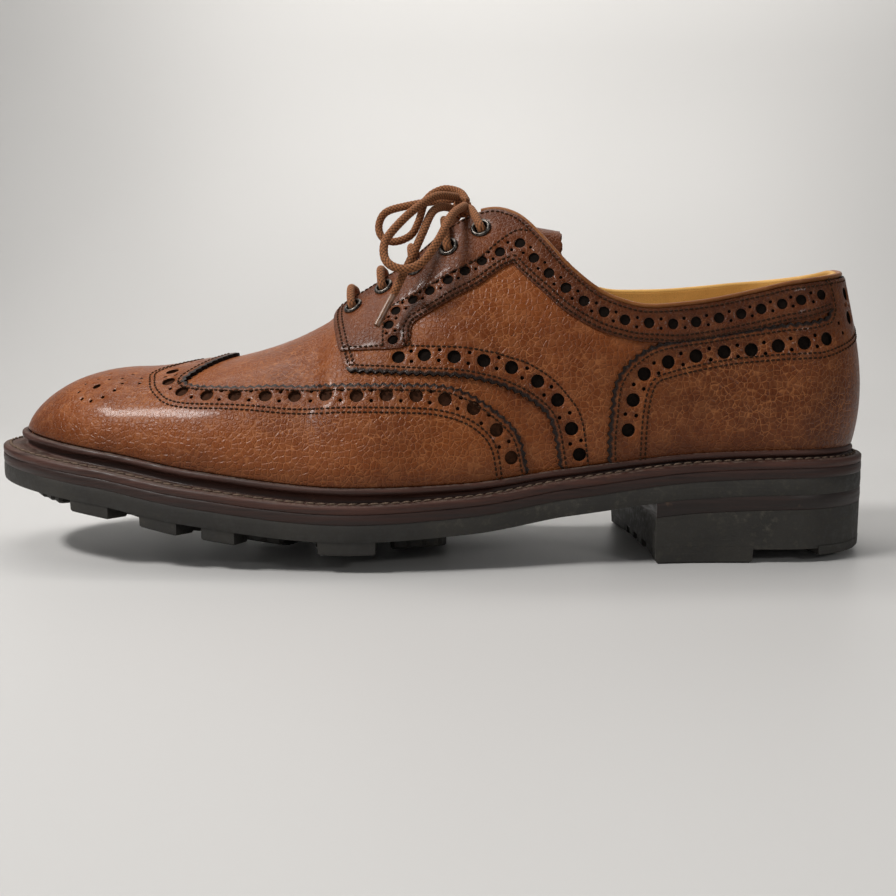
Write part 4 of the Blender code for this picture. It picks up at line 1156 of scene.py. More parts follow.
def cord_skin(path, start, turn, reach):
    """Points and faces of a closed round cord; reach is its radius at each point and turn."""
    sides, others = cord_frame(path, start)
    out = np.cos(turn)[None, :, None] * sides[:, None] + np.sin(turn)[None, :, None] * others[:, None]
    points = (path[:, None] + out * reach[:, :, None]).reshape(-1, 3)
    count = len(turn)
    faces = []
    for i in range(len(path) - 1):
        for k in range(count):
            n = (k + 1) % count
            faces.append((i * count + k, i * count + n, (i + 1) * count + n, (i + 1) * count + k))
    faces.append(tuple(range(count - 1, -1, -1)))
    faces.append(tuple((len(path) - 1) * count + k for k in range(count)))
    return points, faces


def braided(name, route, radius=BRAID_DIAMETER / 2, tip=0.0):
    """A round braided cord along a smooth route; its last stretch may thin into a tip."""
    fine = smooth_line(route, 0.4)
    length = run_length(fine)
    runs = np.linspace(0, length[-1], max(8, round(length[-1] / BRAID_STEP)))
    path = np.stack([np.interp(runs, length, fine[:, k]) for k in range(3)], 1)
    turn = np.linspace(0, 2 * math.pi, BRAID_TURNS, endpoint=False)
    lay = runs[:, None] * 2 * math.pi / BRAID_LAY
    over = np.sin(BRAID_STRANDS * (turn[None, :] + lay))
    under = np.sin(BRAID_STRANDS * (turn[None, :] - lay))
    crown = np.sqrt(np.abs(over * under))
    reach = radius * (1 - BRAID_RELIEF + BRAID_RELIEF * crown)
    if tip:
        reach = reach * (1 - 0.42 * np.clip((runs - length[-1] + tip) / 1.5, 0, 1))[:, None]
    ends = np.minimum(1.0, 0.55 + 0.45 * np.minimum(runs, length[-1] - runs) / 0.5)
    points, faces = cord_skin(path, (0.3, 0.2, 1.0), turn, reach * ends[:, None])
    made = add_piece(name, points, faces, [COTTON], soft_angle=80.0)
    give(made, "braid", crown.reshape(-1))
    return made, path


def tube(name, path, radius, finish):
    """A plain round strip along a dense path, closed at both ends."""
    turn = np.linspace(0, 2 * math.pi, TUBE_TURNS, endpoint=False)
    points, faces = cord_skin(path, (0.1, 0.3, 1.0), turn, np.full((len(path), len(turn)), radius))
    made = add_piece(name, points, faces, [finish], soft_angle=60.0)
    bare_edges(made)
    return made


def eyelet_seat(side, x, z):
    """Middle, normal and two directions of an eyelet's seat on the facing."""
    along = along_at(x)
    up = float(up_at(side, along, z))
    centre = rib_point(side, along, up, BAND_TOP)
    normal = rib_normal(side, along, up)
    first = bare_point(side, along + 0.1, up) - bare_point(side, along, up)
    first = first - (first @ normal) * normal
    first = first / np.linalg.norm(first)
    return centre, normal, first, np.cross(normal, first)


def eyelets():
    """Gunmetal eyelets with a rolled rim and a short barrel."""
    profile = [(EYELET_INNER, -1.3), (EYELET_INNER, 0.1)]
    for k in range(9):
        turn = math.pi * k / 8
        middle = (EYELET_OUTER + EYELET_INNER) / 2
        half = (EYELET_OUTER - EYELET_INNER) / 2
        profile.append((middle - half * math.cos(turn), 0.1 + 0.72 * math.sin(turn)))
    profile.extend([(EYELET_OUTER - 0.15, -0.25), (EYELET_INNER + 0.5, -0.3), (EYELET_INNER + 0.5, -1.3)])
    count = 28
    points = []
    faces = []
    for side in (LATERAL, MEDIAL):
        for x, z in EYELETS:
            centre, normal, first, second = eyelet_seat(side, x, z)
            base = len(points)
            size = len(profile)
            for k in range(count):
                turn = 2 * math.pi * k / count
                out = math.cos(turn) * first + math.sin(turn) * second
                points.extend(centre + out * r + normal * h for r, h in profile)
                for j in range(size):
                    a = base + k * size + j
                    b = base + k * size + (j + 1) % size
                    c = base + ((k + 1) % count) * size + (j + 1) % size
                    d = base + ((k + 1) % count) * size + j
                    faces.append((a, b, c, d))
    made = add_piece("eyelets", points, faces, [GUNMETAL], soft_angle=50.0)
    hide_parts(*(f"eyelet_{w}_{i + 1}" for w in ("lateral", "medial") for i in range(5)))


def lace_ends_at(index):
    """Lowest point in the eyelet hole, mouth of the hole and facing edge, lateral side first."""
    x, z = EYELETS[index]
    spots = []
    for side in (LATERAL, MEDIAL):
        centre, normal, _, _ = eyelet_seat(side, x, z)
        over = rib_point(side, along_at(x), TOP_EDGE, BAND_TOP + LACE_DIAMETER / 2 + 0.6)
        spots.append((centre - normal * 1.6, centre + normal * 1.2, over + np.array([0.0, 0.0, 0.6])))
    return spots


def laces():
    """Bars through the eyelets, then the bow: knot, loops and ends."""
    for index in range(4):
        (low_a, mouth_a, edge_a), (low_b, mouth_b, edge_b) = lace_ends_at(index)
        middle = (edge_a + edge_b) / 2 + np.array([0.0, 0.0, 0.5])
        route = [low_a, mouth_a, edge_a, middle, edge_b, mouth_b, low_b]
        made, _ = braided(f"lace_bar_{index + 1}_braid", route)
        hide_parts(f"lace_bar_{index + 1}")
    (low_a, mouth_a, _), (low_b, mouth_b, _) = lace_ends_at(4)
    knot = np.array(KNOT)
    bend_a = (mouth_a + knot) / 2 + np.array([0.0, -1.0, 2.2])
    bend_b = (mouth_b + knot) / 2 + np.array([0.0, 1.0, 2.2])
    route = [low_a, mouth_a, bend_a, knot + (0.4, 0.0, -1.0), bend_b, mouth_b, low_b]
    made, _ = braided("lace_bar_5_braid", route)
    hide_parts("lace_bar_5")
    wrap = []
    for k in range(23):
        turn = 2 * math.pi * k / 15 + 0.6
        wrap.append(knot + np.array([2.0 * math.cos(turn), -2.6 + 5.2 * k / 22, 2.0 * math.sin(turn)]))
    made, _ = braided("lace_knot_braid", wrap, radius=KNOT_RADIUS)
    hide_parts("lace_knot")
    for name, route, tip in (
        ("lace_loop_lateral", LOOP_LATERAL, 0.0),
        ("lace_loop_medial", LOOP_MEDIAL, 0.0),
        ("lace_end_lateral", END_LATERAL, TIP_LENGTH),
        ("lace_end_medial", END_MEDIAL, TIP_LENGTH),
    ):
        made, path = braided(name + "_braid", route, tip=tip)
        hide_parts(name)
        run = run_length(path)
        if tip:
            tube(name + "_tip", path[run > run[-1] - tip], TIP_RADIUS, TIP)


# Upper

def upper_wall():
    """The upper's wall: grained outside, tan lining inside, a rounded rim at throat and collar."""
    ribs = np.unique(np.concatenate([np.linspace(0, HEEL_ARC, 33),
                                     np.linspace(HEEL_ARC, HEEL_ARC + MIDDLE, 131),
                                     np.linspace(HEEL_ARC + MIDDLE, HEEL_TO_TOE, 41)]))
    ups = np.linspace(0, 1, 45)
    closed = station(ribs)[0] <= THROAT_X
    walls = {}
    for side in (LATERAL, MEDIAL):
        for lift in (0.0, -WALL):
            walls[side, lift] = rib_point(side, ribs[:, None], ups[None, :], lift)
    for lift in (0.0, -WALL):
        pair = [walls[s, lift] for s in (LATERAL, MEDIAL)]
        back = (pair[0][0] + pair[1][0]) / 2
        ridge = (pair[0][closed, -1] + pair[1][closed, -1]) / 2
        for w in pair:
            w[0] = back
            w[closed, -1] = ridge
    points = []
    faces = []
    kinds = []
    rows = len(ribs)
    cols = len(ups)
    for side in (LATERAL, MEDIAL):
        outer = len(points)
        points.extend(walls[side, 0.0].reshape(-1, 3))
        inner = len(points)
        points.extend(walls[side, -WALL].reshape(-1, 3))
        crown = len(points)
        points.extend((walls[side, 0.0][:, -1] + walls[side, -WALL][:, -1]) / 2 + np.array([0.0, 0.0, 0.5]))
        for i in range(rows - 1):
            for j in range(cols - 1):
                a = i * cols + j
                quad = (a, a + 1, a + cols + 1, a + cols)
                for base, kind in ((outer, 0), (inner, 1)):
                    face = [base + q for q in quad]
                    turned = (kind == 0) == (side < 0)
                    faces.append(tuple(face if turned else reversed(face)))
                    kinds.append(kind)
            if not (closed[i] and closed[i + 1]):
                top = (i + 1) * cols - 1
                for kind, a, b, c, d in ((0, outer + top, crown + i, crown + i + 1, outer + top + cols),
                                         (1, crown + i, inner + top, inner + top + cols, crown + i + 1)):
                    faces.append((a, b, c, d) if side < 0 else (d, c, b, a))
                    kinds.append(kind)
            low = i * cols
            low_face = (inner + low, outer + low, outer + low + cols, inner + low + cols)
            faces.append(low_face if side < 0 else tuple(reversed(low_face)))
            kinds.append(0)
    made = add_piece("upper_wall", points, faces, [CALF, LINING], kinds, merge=0.01)
    bare_edges(made)
    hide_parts("upper")


lateral_wall = on_side(LATERAL)


def to_low(line, side=LATERAL):
    """A line whose last place drops to the welt's lip."""
    line = np.array(line)
    line[-1, 1] = lip_top(side, line[-1, 0], LOW_CLEAR)
    return line


def wing_cap():
    """Toe cap with wings: gimped rear edge, punched band, front double row and a punched figure."""
    rear = to_low(on_wall(WING_REAR))
    peak = np.array([[along_at(PEAK_X), 1.0]])
    half = np.concatenate([peak, flat_curve(rear)])
    tooth = gimped(over_toe, half)
    ribs = np.arange(HEEL_TO_TOE, 0, -0.2)
    tip = ribs[np.argmax(lip_top(LATERAL, ribs, LOW_CLEAR) < 0.93)]
    feather = np.linspace(half[-1, 0], tip, 110)
    low = np.stack([feather, lip_top(LATERAL, feather, LOW_CLEAR)], 1)
    high = np.stack([feather, 2 - lip_top(MEDIAL, feather, LOW_CLEAR)], 1)[::-1]
    outline = np.concatenate([tooth[:-1], low, [[tip, 1.0]], high, mirrored(tooth)[::-1][1:-1]])
    plain = even_line(over_toe, half, 1.6)
    base = np.concatenate([plain[:-1], low, [[tip, 1.0]], high, mirrored(plain)[::-1][1:-1]])
    band = on_wall(WING_HOLES)
    crown = np.array([[along_at(PEAK_HOLE_X), 1.0]])
    holes = punched(over_toe, np.concatenate([crown, band]))
    holes += [(m, r, n) for (c, r, n) in holes[1:] for m in mirrored([c])]
    figure = on_wall(MEDALLION)
    for flat in (figure, mirrored(figure)):
        holes.extend((c, MEDALLION_PIN, PIN_SIDES) for c in flat)
    heart = on_wall([MEDALLION_HEART])
    for flat in (heart, mirrored(heart)):
        holes.extend((c, *HEART_HOLE) for c in flat)
    made = cut_panel("wing_cap_leather", over_toe, outline, base, 0.0, WING_TOP, 2.4, holes,
                     [CALF, CUT, PAINTED_SHADE_WING_PIT], ink=np.concatenate([tooth, mirrored(tooth)]))
    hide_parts("wing_cap")
    inner = sidestep(over_toe, even_line(over_toe, half, 1.5), -1.7)[2:]
    front = np.concatenate([[[along_at(PEAK_SEAM_X), 1.0]], on_wall(WING_FRONT)])
    front[-1, 1] = lip_top(LATERAL, front[-1, 0], LOW_CLEAR)
    front = flat_curve(front)
    for line, gap in ((inner, 0.0), (front, SEAM_GAP)):
        stitch("wing", over_toe, line, WING_TOP, gap)
        stitch("wing", over_toe, mirrored(line), WING_TOP, gap)


def front_edge():
    """Front edge of the facing, from its lower corner up to the lacing edge."""
    line = [(along_at(x), float(up_at(LATERAL, along_at(x), z))) for x, z in FRONT_EDGE]
    return flat_curve([*line, (along_at(FRONT_EDGE[-1][0] + 1.0), TOP_EDGE)])


def quarter(word, side):
    """A quarter: gimped lower edge over the vamp, back to beneath the counter."""
    chart = on_side(side)
    low = to_low(on_wall(QUARTER_LOW))
    edge = flat_curve(low)
    tooth = gimped(lateral_wall, edge, depth=-0.85)
    back = on_wall(COUNTER_EDGE[:-3])
    back[:, 0] = back[:, 0] - UNDERLAP
    back[0, 1] = lip_top(side, back[0, 0], LOW_CLEAR)
    rear = flat_curve(back)
    feather = np.linspace(edge[-1, 0], rear[0, 0], 30)[1:-1]
    under = np.stack([feather, lip_top(side, feather, LOW_CLEAR)], 1)
    front = front_edge()
    tops = np.linspace(rear[-1, 0], along_at(FACING_FRONT_X), 120)
    top = np.stack([tops, np.full(len(tops), TOP_EDGE)], 1)
    rest = np.concatenate([under, rear, top, front[::-1]])
    outline = np.concatenate([tooth, rest[:-1]])
    base = np.concatenate([even_line(lateral_wall, edge, 1.6), rest[:-1]])
    holes = punched(lateral_wall, on_wall(QUARTER_HOLES))
    made = cut_panel(f"quarter_{word}_leather", chart, outline, base, 0.0, QUARTER_TOP, 2.6, holes,
                     [CALF, CUT, PAINTED_SHADE_PIT], ink=tooth)
    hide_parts(f"quarter_{word}")
    inner = sidestep(lateral_wall, even_line(lateral_wall, edge, 1.5), 1.6)[1:]
    upper = flat_curve(to_low(on_wall(QUARTER_STITCH)))
    for line in (inner, upper):
        stitch("quarter", chart, line, QUARTER_TOP)


def facing(word, side):
    """Eyelet facing and collar band in one strip, with its punched rows."""
    chart = on_side(side)
    band = flat_curve(on_wall(BAND_LOW), corners=(5,))
    edge = sidestep(lateral_wall, even_line(lateral_wall, band, 1.6), -1.6)
    foot = on_wall(FOOT_EDGE)
    front = front_edge()
    front = front[front[:, 1] > foot[0, 1] + 0.004]
    back = STRAP_HALF - 3.0
    tail = np.array([[back, edge[-1, 1] + 0.01], [back, TOP_EDGE]])
    tops = np.linspace(back, along_at(FACING_FRONT_X), 150)[1:]
    top = np.stack([tops, np.full(len(tops), TOP_EDGE)], 1)
    outline = np.concatenate([foot, edge[2:], tail, top, front[::-1]])
    closed = np.concatenate([outline, outline[:1]])
    outline = even_line(chart, closed, 1.5)[:-1]
    rows = on_wall((FOOT_HOLE, *FACING_HOLES))
    holes = punched(lateral_wall, rows, BAND_ROW)
    holes += punched(lateral_wall, np.concatenate([rows[-1:], on_wall(COLLAR_HOLES)]), BAND_ROW)[1:]
    for x, z in EYELETS:
        holes.append(((along_at(x), float(up_at(side, along_at(x), z))), EYELET_INNER + 0.2, 18))
    made = cut_panel(f"facing_{word}_leather", chart, outline, outline, QUARTER_TOP - 0.5, BAND_TOP, 2.3,
                     holes, [TRIM, TRIM, PAINTED_SHADE_PIT], pit=BAND_TOP - QUARTER_TOP - 0.08)
    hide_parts(f"facing_{word}")
    lace_edge = np.linspace(along_at(LACE_SEAM_X), 18.0, 260)
    under_top = np.stack([lace_edge, np.full(len(lace_edge), TOP_EDGE)], 1)
    front = even_line(lateral_wall, front_edge(), 1.5)
    stitch("facing", chart, band, BAND_TOP, SEAM_GAP)
    for line in (flat_curve(on_wall(STAY_STITCH)),
                 flat_curve(on_wall(FOOT_STITCH)),
                 sidestep(chart, even_line(chart, under_top, 1.6), side * 1.15),
                 sidestep(lateral_wall, front, -1.8),
                 sidestep(lateral_wall, front, -3.4)):
        stitch("facing", chart, line, BAND_TOP)


def counter():
    """Heel counter with its back strap, laid over quarters and collar band."""
    edge = on_wall(COUNTER_EDGE)
    edge[0, 1] = lip_top(LATERAL, edge[0, 0], LOW_CLEAR)
    edge[-1, 1] = TOP_EDGE
    half = flat_curve(edge, corners=(len(edge) - 4,))
    tooth = gimped(lateral_wall, half)
    across = np.linspace(half[-1, 0], 0.0, 24)[1:]
    top = np.stack([across, np.full(len(across), TOP_EDGE)], 1)
    flip = np.array((-1.0, 1.0))
    feather = np.linspace(half[0, 0], -half[0, 0], 120)[1:-1]
    outer, inner = (lip_top(side, np.abs(feather), LOW_CLEAR) for side in (LATERAL, MEDIAL))
    low = np.stack([feather, np.where(feather < 0, outer, inner)], 1)
    outline = np.concatenate([tooth * flip, top * flip, top[::-1][1:], tooth[::-1], low])
    plain = even_line(lateral_wall, half, 1.6)
    base = np.concatenate([plain * flip, top * flip, top[::-1][1:], plain[::-1], low])
    row = punched(lateral_wall, np.concatenate([on_wall(COUNTER_HOLES), STRAP_HOLES]))
    holes = [(c * flip, r, n) for c, r, n in row] + row
    # The counter takes the darker calf, painted shade for the back of the shoe.
    made = cut_panel("counter_leather", round_heel, outline, base, 0.0, COUNTER_TOP, 2.4, holes,
                     [SHADED_HEEL_CALF, CUT, PAINTED_SHADE_PIT], ink=np.concatenate([tooth * flip, tooth]))
    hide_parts("counter")
    inner = sidestep(lateral_wall, even_line(lateral_wall, half, 1.5), -1.6)[1:]
    second = on_wall(COUNTER_STITCH)
    second[0, 1] = lip_top(LATERAL, second[0, 0], LOW_CLEAR)
    second = flat_curve(np.concatenate([second, STRAP_STITCH]))
    for turn in (flip, np.array((1.0, 1.0))):
        stitch("counter", round_heel, inner * turn, COUNTER_TOP)
        stitch("counter", round_heel, second * turn, COUNTER_TOP, SEAM_GAP)


def collar_roll():
    """Piping along the collar's outer edge and the rolled edge of the lining inside it."""
    ribs = np.linspace(along_at(COLLAR_FRONT_X), 0.0, 180)
    tops = np.full(len(ribs), 1.0)
    for name, lift, radius, finish, slot in (("collar_piping", 1.0, 0.85, PIPING, "panel_leather"),
                                             ("lining_roll", -0.85, 1.1, LINING, "lining")):
        lateral = rib_point(LATERAL, ribs, tops, lift)
        medial = rib_point(MEDIAL, ribs[::-1], tops, lift)
        path = np.concatenate([lateral[:-1], (lateral[-1:] + medial[:1]) / 2, medial[1:]])
        tube(name, smoothed(path, 16) + np.array([0.0, 0.0, 0.3]), radius, finish)


def tongue():
    """The tongue: rises under the lacing and stands out behind it with a gimped top."""
    clear = WALL + 2.5 * GAP
    ups = np.linspace(0.62, 1.0, 12)
    rows = []
    for x in np.linspace(TONGUE_START, TONGUE_END, 72):
        along = np.full(len(ups), along_at(min(x, TONGUE_BEND)))
        past = max(0.0, x - TONGUE_BEND)
        lateral = bare_point(LATERAL, along, ups) - clear * rib_normal(LATERAL, along, ups)
        medial = bare_point(MEDIAL, along, ups) - clear * rib_normal(MEDIAL, along, ups)
        inner = (lateral[-1] + medial[-1]) / 2
        row = smoothed(np.concatenate([lateral, [inner + np.array([0.0, 0.0, 1.2])], medial[::-1]]), 4)
        row[:, 1] = inner[1] + (row[:, 1] - inner[1]) * (1 - 0.016 * past)
        row = row + np.array([past, 0.0, -TONGUE_FALL * past])
        rib = np.full(len(row), along_at(x))
        for side in (LATERAL, MEDIAL):
            wall = bare_point(side, rib, up_at(side, rib, row[:, 2] - 1.0))[:, 1] - side * TONGUE_ROOM
            row[:, 1] = np.maximum(row[:, 1], wall) if side < 0 else np.minimum(row[:, 1], wall)
        if x > TONGUE_END - 1.0:
            row[1::2, 0] = row[1::2, 0] - TONGUE_TOOTH
        rows.append(row)
    tops = np.array(rows)
    bottoms = tops - np.array([0.0, 0.0, TONGUE_THICK])
    points, faces, kinds = plate(tops, bottoms)
    made = add_piece("tongue_leather", points, faces, [TRIM, LINING], kinds)
    bare_edges(made)
    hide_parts("tongue")


def grid_rim(rows, count):
    """Rows and places of a grid's edge, once round."""
    rim = [(i, 0) for i in range(rows)] + [(rows - 1, j) for j in range(1, count)]
    rim += [(i, count - 1) for i in range(rows - 2, -1, -1)] + [(0, j) for j in range(count - 2, 0, -1)]
    return rim


def plate(tops, bottoms):
    """Closed plate between two grids: points, faces and kinds, 1 for the underside."""
    rows, count = tops.shape[:2]
    points = np.concatenate([tops.reshape(-1, 3), bottoms.reshape(-1, 3)])
    half = rows * count
    faces = []
    kinds = []
    for i in range(rows - 1):
        for j in range(count - 1):
            a = i * count + j
            faces.append((a, a + 1, a + count + 1, a + count))
            faces.append((half + a, half + a + count, half + a + count + 1, half + a + 1))
            kinds.extend((0, 1))
    rim = grid_rim(rows, count)
    for (i, j), (k, m) in zip(rim, rim[1:] + rim[:1]):
        a = i * count + j
        b = k * count + m
        faces.append((a, b, half + b, half + a))
        kinds.append(0)
    return points, faces, kinds


# Sole

def sole_grid(places, across, depth, inset=0.0):
    """Grid of points across the sole at one depth of the stack."""
    left = sole_edge(LATERAL, places)
    right = sole_edge(MEDIAL, places)
    width = np.maximum(np.linalg.norm(right - left, axis=1), 1e-6)
    share = np.maximum(0.0, 1 - 2 * inset / width)[:, None, None]
    middle = (left + right)[:, None] / 2
    plan = middle + (right - left)[:, None] / 2 * across[None, :, None] * share
    x = station(places)[0]
    crown = column(PLAN, "crown", x)[:, None] * (1 - across[None, :] ** 2) ** 2
    height = column(PLAN, "deck_z", x)[:, None] - depth - crown
    return np.concatenate([plan, height[:, :, None]], 2)


def sole_ribs(last=HEEL_TO_TOE):
    """Ribs of the sole from the heel's back, closer together at both round ends."""
    heel_end = HEEL_ARC * np.linspace(0, 1, 40) ** 1.5
    middle = np.linspace(HEEL_ARC, HEEL_ARC + MIDDLE, 90)
    toe_end = HEEL_TO_TOE - TOE_ARC * np.linspace(1, 0, 44) ** 1.5
    base = np.concatenate([heel_end, middle, toe_end])
    base = base[(base > 0.0) & (base < last)]
    return np.unique(np.concatenate([[0.0], base, [last]]))


ACROSS = np.sin(np.linspace(-math.pi / 2, math.pi / 2, 33))


def layer(name, depths, finish, last=HEEL_TO_TOE):
    """One layer of the stack, as a closed body whose edge is a little rounded."""
    ribs = sole_ribs(last=last)
    top, bottom = depths
    tops = sole_grid(ribs, ACROSS, top, EDGE_ROUND)
    bottoms = sole_grid(ribs, ACROSS, bottom, EDGE_ROUND)
    levels = [(0.12, 0.08), (0.3, 0.0), (0.5, -EDGE_ROUND * 0.3), (0.7, 0.0), (0.88, 0.08)]
    points, faces, _ = plate(tops, bottoms)
    rows = len(ribs)
    count = len(ACROSS)
    half = rows * count
    faces = faces[:2 * (rows - 1) * (count - 1)]
    rim = grid_rim(rows, count)
    row, place = np.array(rim).T
    left = sole_edge(LATERAL, ribs)[row]
    right = sole_edge(MEDIAL, ribs)[row]
    on_left = (place == 0)[:, None]
    on_right = (place == count - 1)[:, None]
    spot = np.where(on_left, left, np.where(on_right, right, tops[row, place, :2]))
    away = np.where(on_left | on_right, spot - (left + right) / 2, 0.0)
    away = away / np.maximum(np.linalg.norm(away, axis=1, keepdims=True), 1e-6)
    x = station(ribs)[0][row]
    deck = column(PLAN, "deck_z", x) - column(PLAN, "crown", x) * (1 - ACROSS[place] ** 2) ** 2
    points = list(points)
    chains = [[i * count + j] for i, j in rim]
    for share, inset in levels:
        height = deck - top - (bottom - top) * share
        for k, chain in enumerate(chains):
            chain.append(len(points) + k)
        points.extend(np.concatenate([spot - away * inset, height[:, None]], 1))
    for chain, (i, j) in zip(chains, rim):
        chain.append(half + i * count + j)
    for a, b in zip(chains, chains[1:] + chains[:1]):
        for k in range(len(a) - 1):
            faces.append((a[k], b[k], b[k + 1], a[k + 1]))
    return add_piece(name, points, faces, [finish], merge=0.01, soft_angle=50.0)


def welt():
    """The storm welt: a flat strip with a rounded lip raised against the upper and a groove between."""
    middle = np.linspace(HEEL_ARC, HEEL_ARC + MIDDLE, 110)
    toe_end = HEEL_TO_TOE - TOE_ARC * np.linspace(1, 0, 60) ** 1.6
    ribs = np.unique(np.concatenate([np.linspace(0, HEEL_ARC, 40), middle, toe_end]))[:-1]
    loop = [(LATERAL, a) for a in ribs[::-1]] + [(MEDIAL, a) for a in ribs[1:]]
    loop.insert(0, (LATERAL, HEEL_TO_TOE - 0.05))
    points = []
    for side, along in loop:
        deck = float(column(PLAN, "deck_z", station(along)[0]))
        feather = bare_point(side, along, 0.0)
        raised = bare_point(side, along, float(lip_top(side, along, LIP_CLEAR)))
        edge = sole_edge(side, along)
        width = np.linalg.norm(edge - feather[:2])
        out = (edge - feather[:2]) / width
        swell = max(0.0, float((raised[:2] - feather[:2]) @ out)) + 0.4
        lip = float(column(PLAN, "lip", station(along)[0]))
        profile = ((0.4, -WELT_THICK), (0.4, 0.0), (swell, lip - 0.3), (swell + 0.3, lip + 0.1),
                   (swell + 1.2, lip + 0.25), (swell + 1.9, lip + 0.1), (swell + 2.3, lip - 0.3),
                   (swell + 2.4, lip - 1.0), (swell + 2.3, lip - 1.65), (swell + 1.9, lip - 1.95),
                   (swell + 1.1, lip - 2.1), (swell + 0.6, 0.5 * lip - 0.6), (swell + 0.6, 0.3),
                   (swell + 1.0, -0.1), (swell + 2.0, -0.1), (swell + 2.7, 0.22), (width - 1.6, 0.32),
                   (width - 0.5, 0.15), (width - 0.05, -0.35), (width, -1.2),
                   (width - 0.1, -WELT_THICK + 0.4), (width - 0.5, -WELT_THICK))
        points.extend(np.array([*(feather[:2] + out * r), deck + h]) for r, h in profile)
    size = len(profile)
    faces = []
    for k in range(len(loop)):
        for j in range(size):
            a = k * size + j
            b = k * size + (j + 1) % size
            c = (b + size) % len(points)
            d = (a + size) % len(points)
            faces.append((a, b, c, d))
    made = add_piece("storm_welt", points, faces, [WELT], soft_angle=55.0)
    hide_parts("welt")


def welt_stitches():
    """The row of stitches that shows along the welt's flat top."""
    row = []
    for side in (LATERAL, MEDIAL):
        ribs = np.linspace(0.5, HEEL_TO_TOE - 0.6, 1200)
        edge = outline_point(side, ribs, column(PLAN, "welt", station(ribs)[0]) - 2.4)
        line = np.concatenate([edge, column(PLAN, "deck_z", station(ribs)[0])[:, None] + 0.5], 1)
        row.append(line if side > 0 else line[::-1])
    line = np.concatenate(row)
    run = run_length(line)
    places = np.linspace(0, run[-1], round(run[-1] / WELT_PITCH))
    spots = np.stack([np.interp(places, run, line[:, k]) for k in range(3)], 1)
    way = np.gradient(spots, axis=0)
    out = np.tile((0.0, 0.0, 1.0), (len(spots), 1))
    slant = np.cross(out, way) * 0.22
    return [(spots, way + slant, out)]


def lug(points, faces, corners, top, bottom):
    """A tapered rubber lug from a plan outline; top and bottom are heights at each corner."""
    corners = np.array(corners)
    centre = corners.mean(0)
    low = centre + (corners - centre) * 0.93
    mid = centre + (corners - centre) * 0.985
    start = len(points)
    count = len(corners)
    for ring_points, heights in ((corners, top), (mid, np.minimum(bottom + 0.7, top)), (low, bottom)):
        points.extend(np.array([*p, h]) for p, h in zip(ring_points, heights))
    for level in range(2):
        for k in range(count):
            a = start + level * count + k
            b = start + level * count + (k + 1) % count
            faces.append((a, b, b + count, a + count))
    faces.append(tuple(start + 2 * count + k for k in range(count)))
    faces.append(tuple(start + k for k in reversed(range(count))))


def tread_height(x, y):
    """Height of the outsole's underside at a plan place."""
    along = np.array([along_at(v) for v in x])
    left = sole_edge(LATERAL, along)[:, 1]
    right = sole_edge(MEDIAL, along)[:, 1]
    across = np.clip((y - (left + right) / 2) / np.maximum((right - left) / 2, 1.0), -1, 1)
    crown = column(PLAN, "crown", x) * (1 - across**2) ** 2
    return column(PLAN, "deck_z", x) - OUTSOLE_TOP - OUTSOLE_THICK - crown


def toothed(a, b, teeth, depth, out):
    """A saw edge from a to b whose teeth point along out."""
    a = np.array(a, float)
    b = np.array(b, float)
    edge = []
    for k in range(teeth):
        edge.append(a + (b - a) * k / teeth)
        edge.append(a + (b - a) * (k + 0.75) / teeth + np.array(out) * depth)
    return edge


# Lugs along each edge of the tread as middle and length, and stars between them with their reach to the side.
EDGE_LUGS = ((-107.5, 12.0), (-84.5, 12.0), (-65.5, 10.5), (-26.0, 17.0))
STAR_LUGS = ((-129.0, 12.0, 0.86), (-104.0, 12.0, 0.62), (-84.5, 10.0, 0.62), (-58.0, 18.0, 0.62),
             (-31.0, 13.0, 0.62), (-4.5, 16.0, 0.62))
HEEL_LUGS = ((88.5, 33.0), (134.0, 14.0))
# The heel's two stars: from and to along the shoe, and from and to on each side of its middle line.
HEEL_STAR = (74.0, 96.0, 3.0, 11.0)


def sole_across(x, side, *shares):
    """Places across the sole at x, each a share of the way from its middle to one side."""
    left, right = (sole_edge(s, along_at(x))[1] for s in (LATERAL, MEDIAL))
    return [(left + right) / 2 + side * (right - left) / 2 * share for share in shares]


def outsole():
    """The rubber sole: a plate, edge lugs and saw-edged stars in two rows."""
    body = layer("rubber_outsole", (OUTSOLE_TOP - GAP, OUTSOLE_TOP + OUTSOLE_THICK), RUBBER)
    points = []
    faces = []

    def drop(corners):
        """Adds a lug under the plate."""
        corners = np.array(corners)
        under = tread_height(corners[:, 0], corners[:, 1])
        lug(points, faces, corners, under + 0.6, np.maximum(0.0, under - LUG_DEPTH))

    for side in (LATERAL, MEDIAL):
        for middle, length in EDGE_LUGS:
            xs = np.linspace(middle - length / 2, middle + length / 2, 5)
            edge = np.array([sole_edge(side, along_at(x)) for x in xs])
            edge[:, 1] -= side * 0.5
            centre = (sole_edge(LATERAL, along_at(middle)) + sole_edge(MEDIAL, along_at(middle)))[1] / 2
            inner = centre + (edge[:, 1] - centre) * 0.72
            saw = toothed((xs[-1], inner[-1]), (xs[0], inner[0]), 3, 1.6, (0.0, -side))
            drop([*edge, *saw])
        for middle, length, reach in STAR_LUGS:
            lo = middle - length / 2
            hi = middle + length / 2
            near_lo, far_lo = sole_across(lo, side, 0.16, reach)
            near_hi, far_hi = sole_across(hi, side, 0.16, reach)
            drop([*toothed((lo, near_lo), (lo, far_lo), 3, 1.4, (-1.0, 0.0)),
                  *toothed((lo, far_lo), (hi, far_hi), 3, 1.4, (0.0, side)),
                  *toothed((hi, far_hi), (hi, near_hi), 3, 1.4, (1.0, 0.0)),
                  *toothed((hi, near_hi), (lo, near_lo), 3, 1.2, (0.0, -side))])
    add_piece("outsole_lugs", points, faces, [RUBBER], soft_angle=25.0)
    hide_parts("outsole")


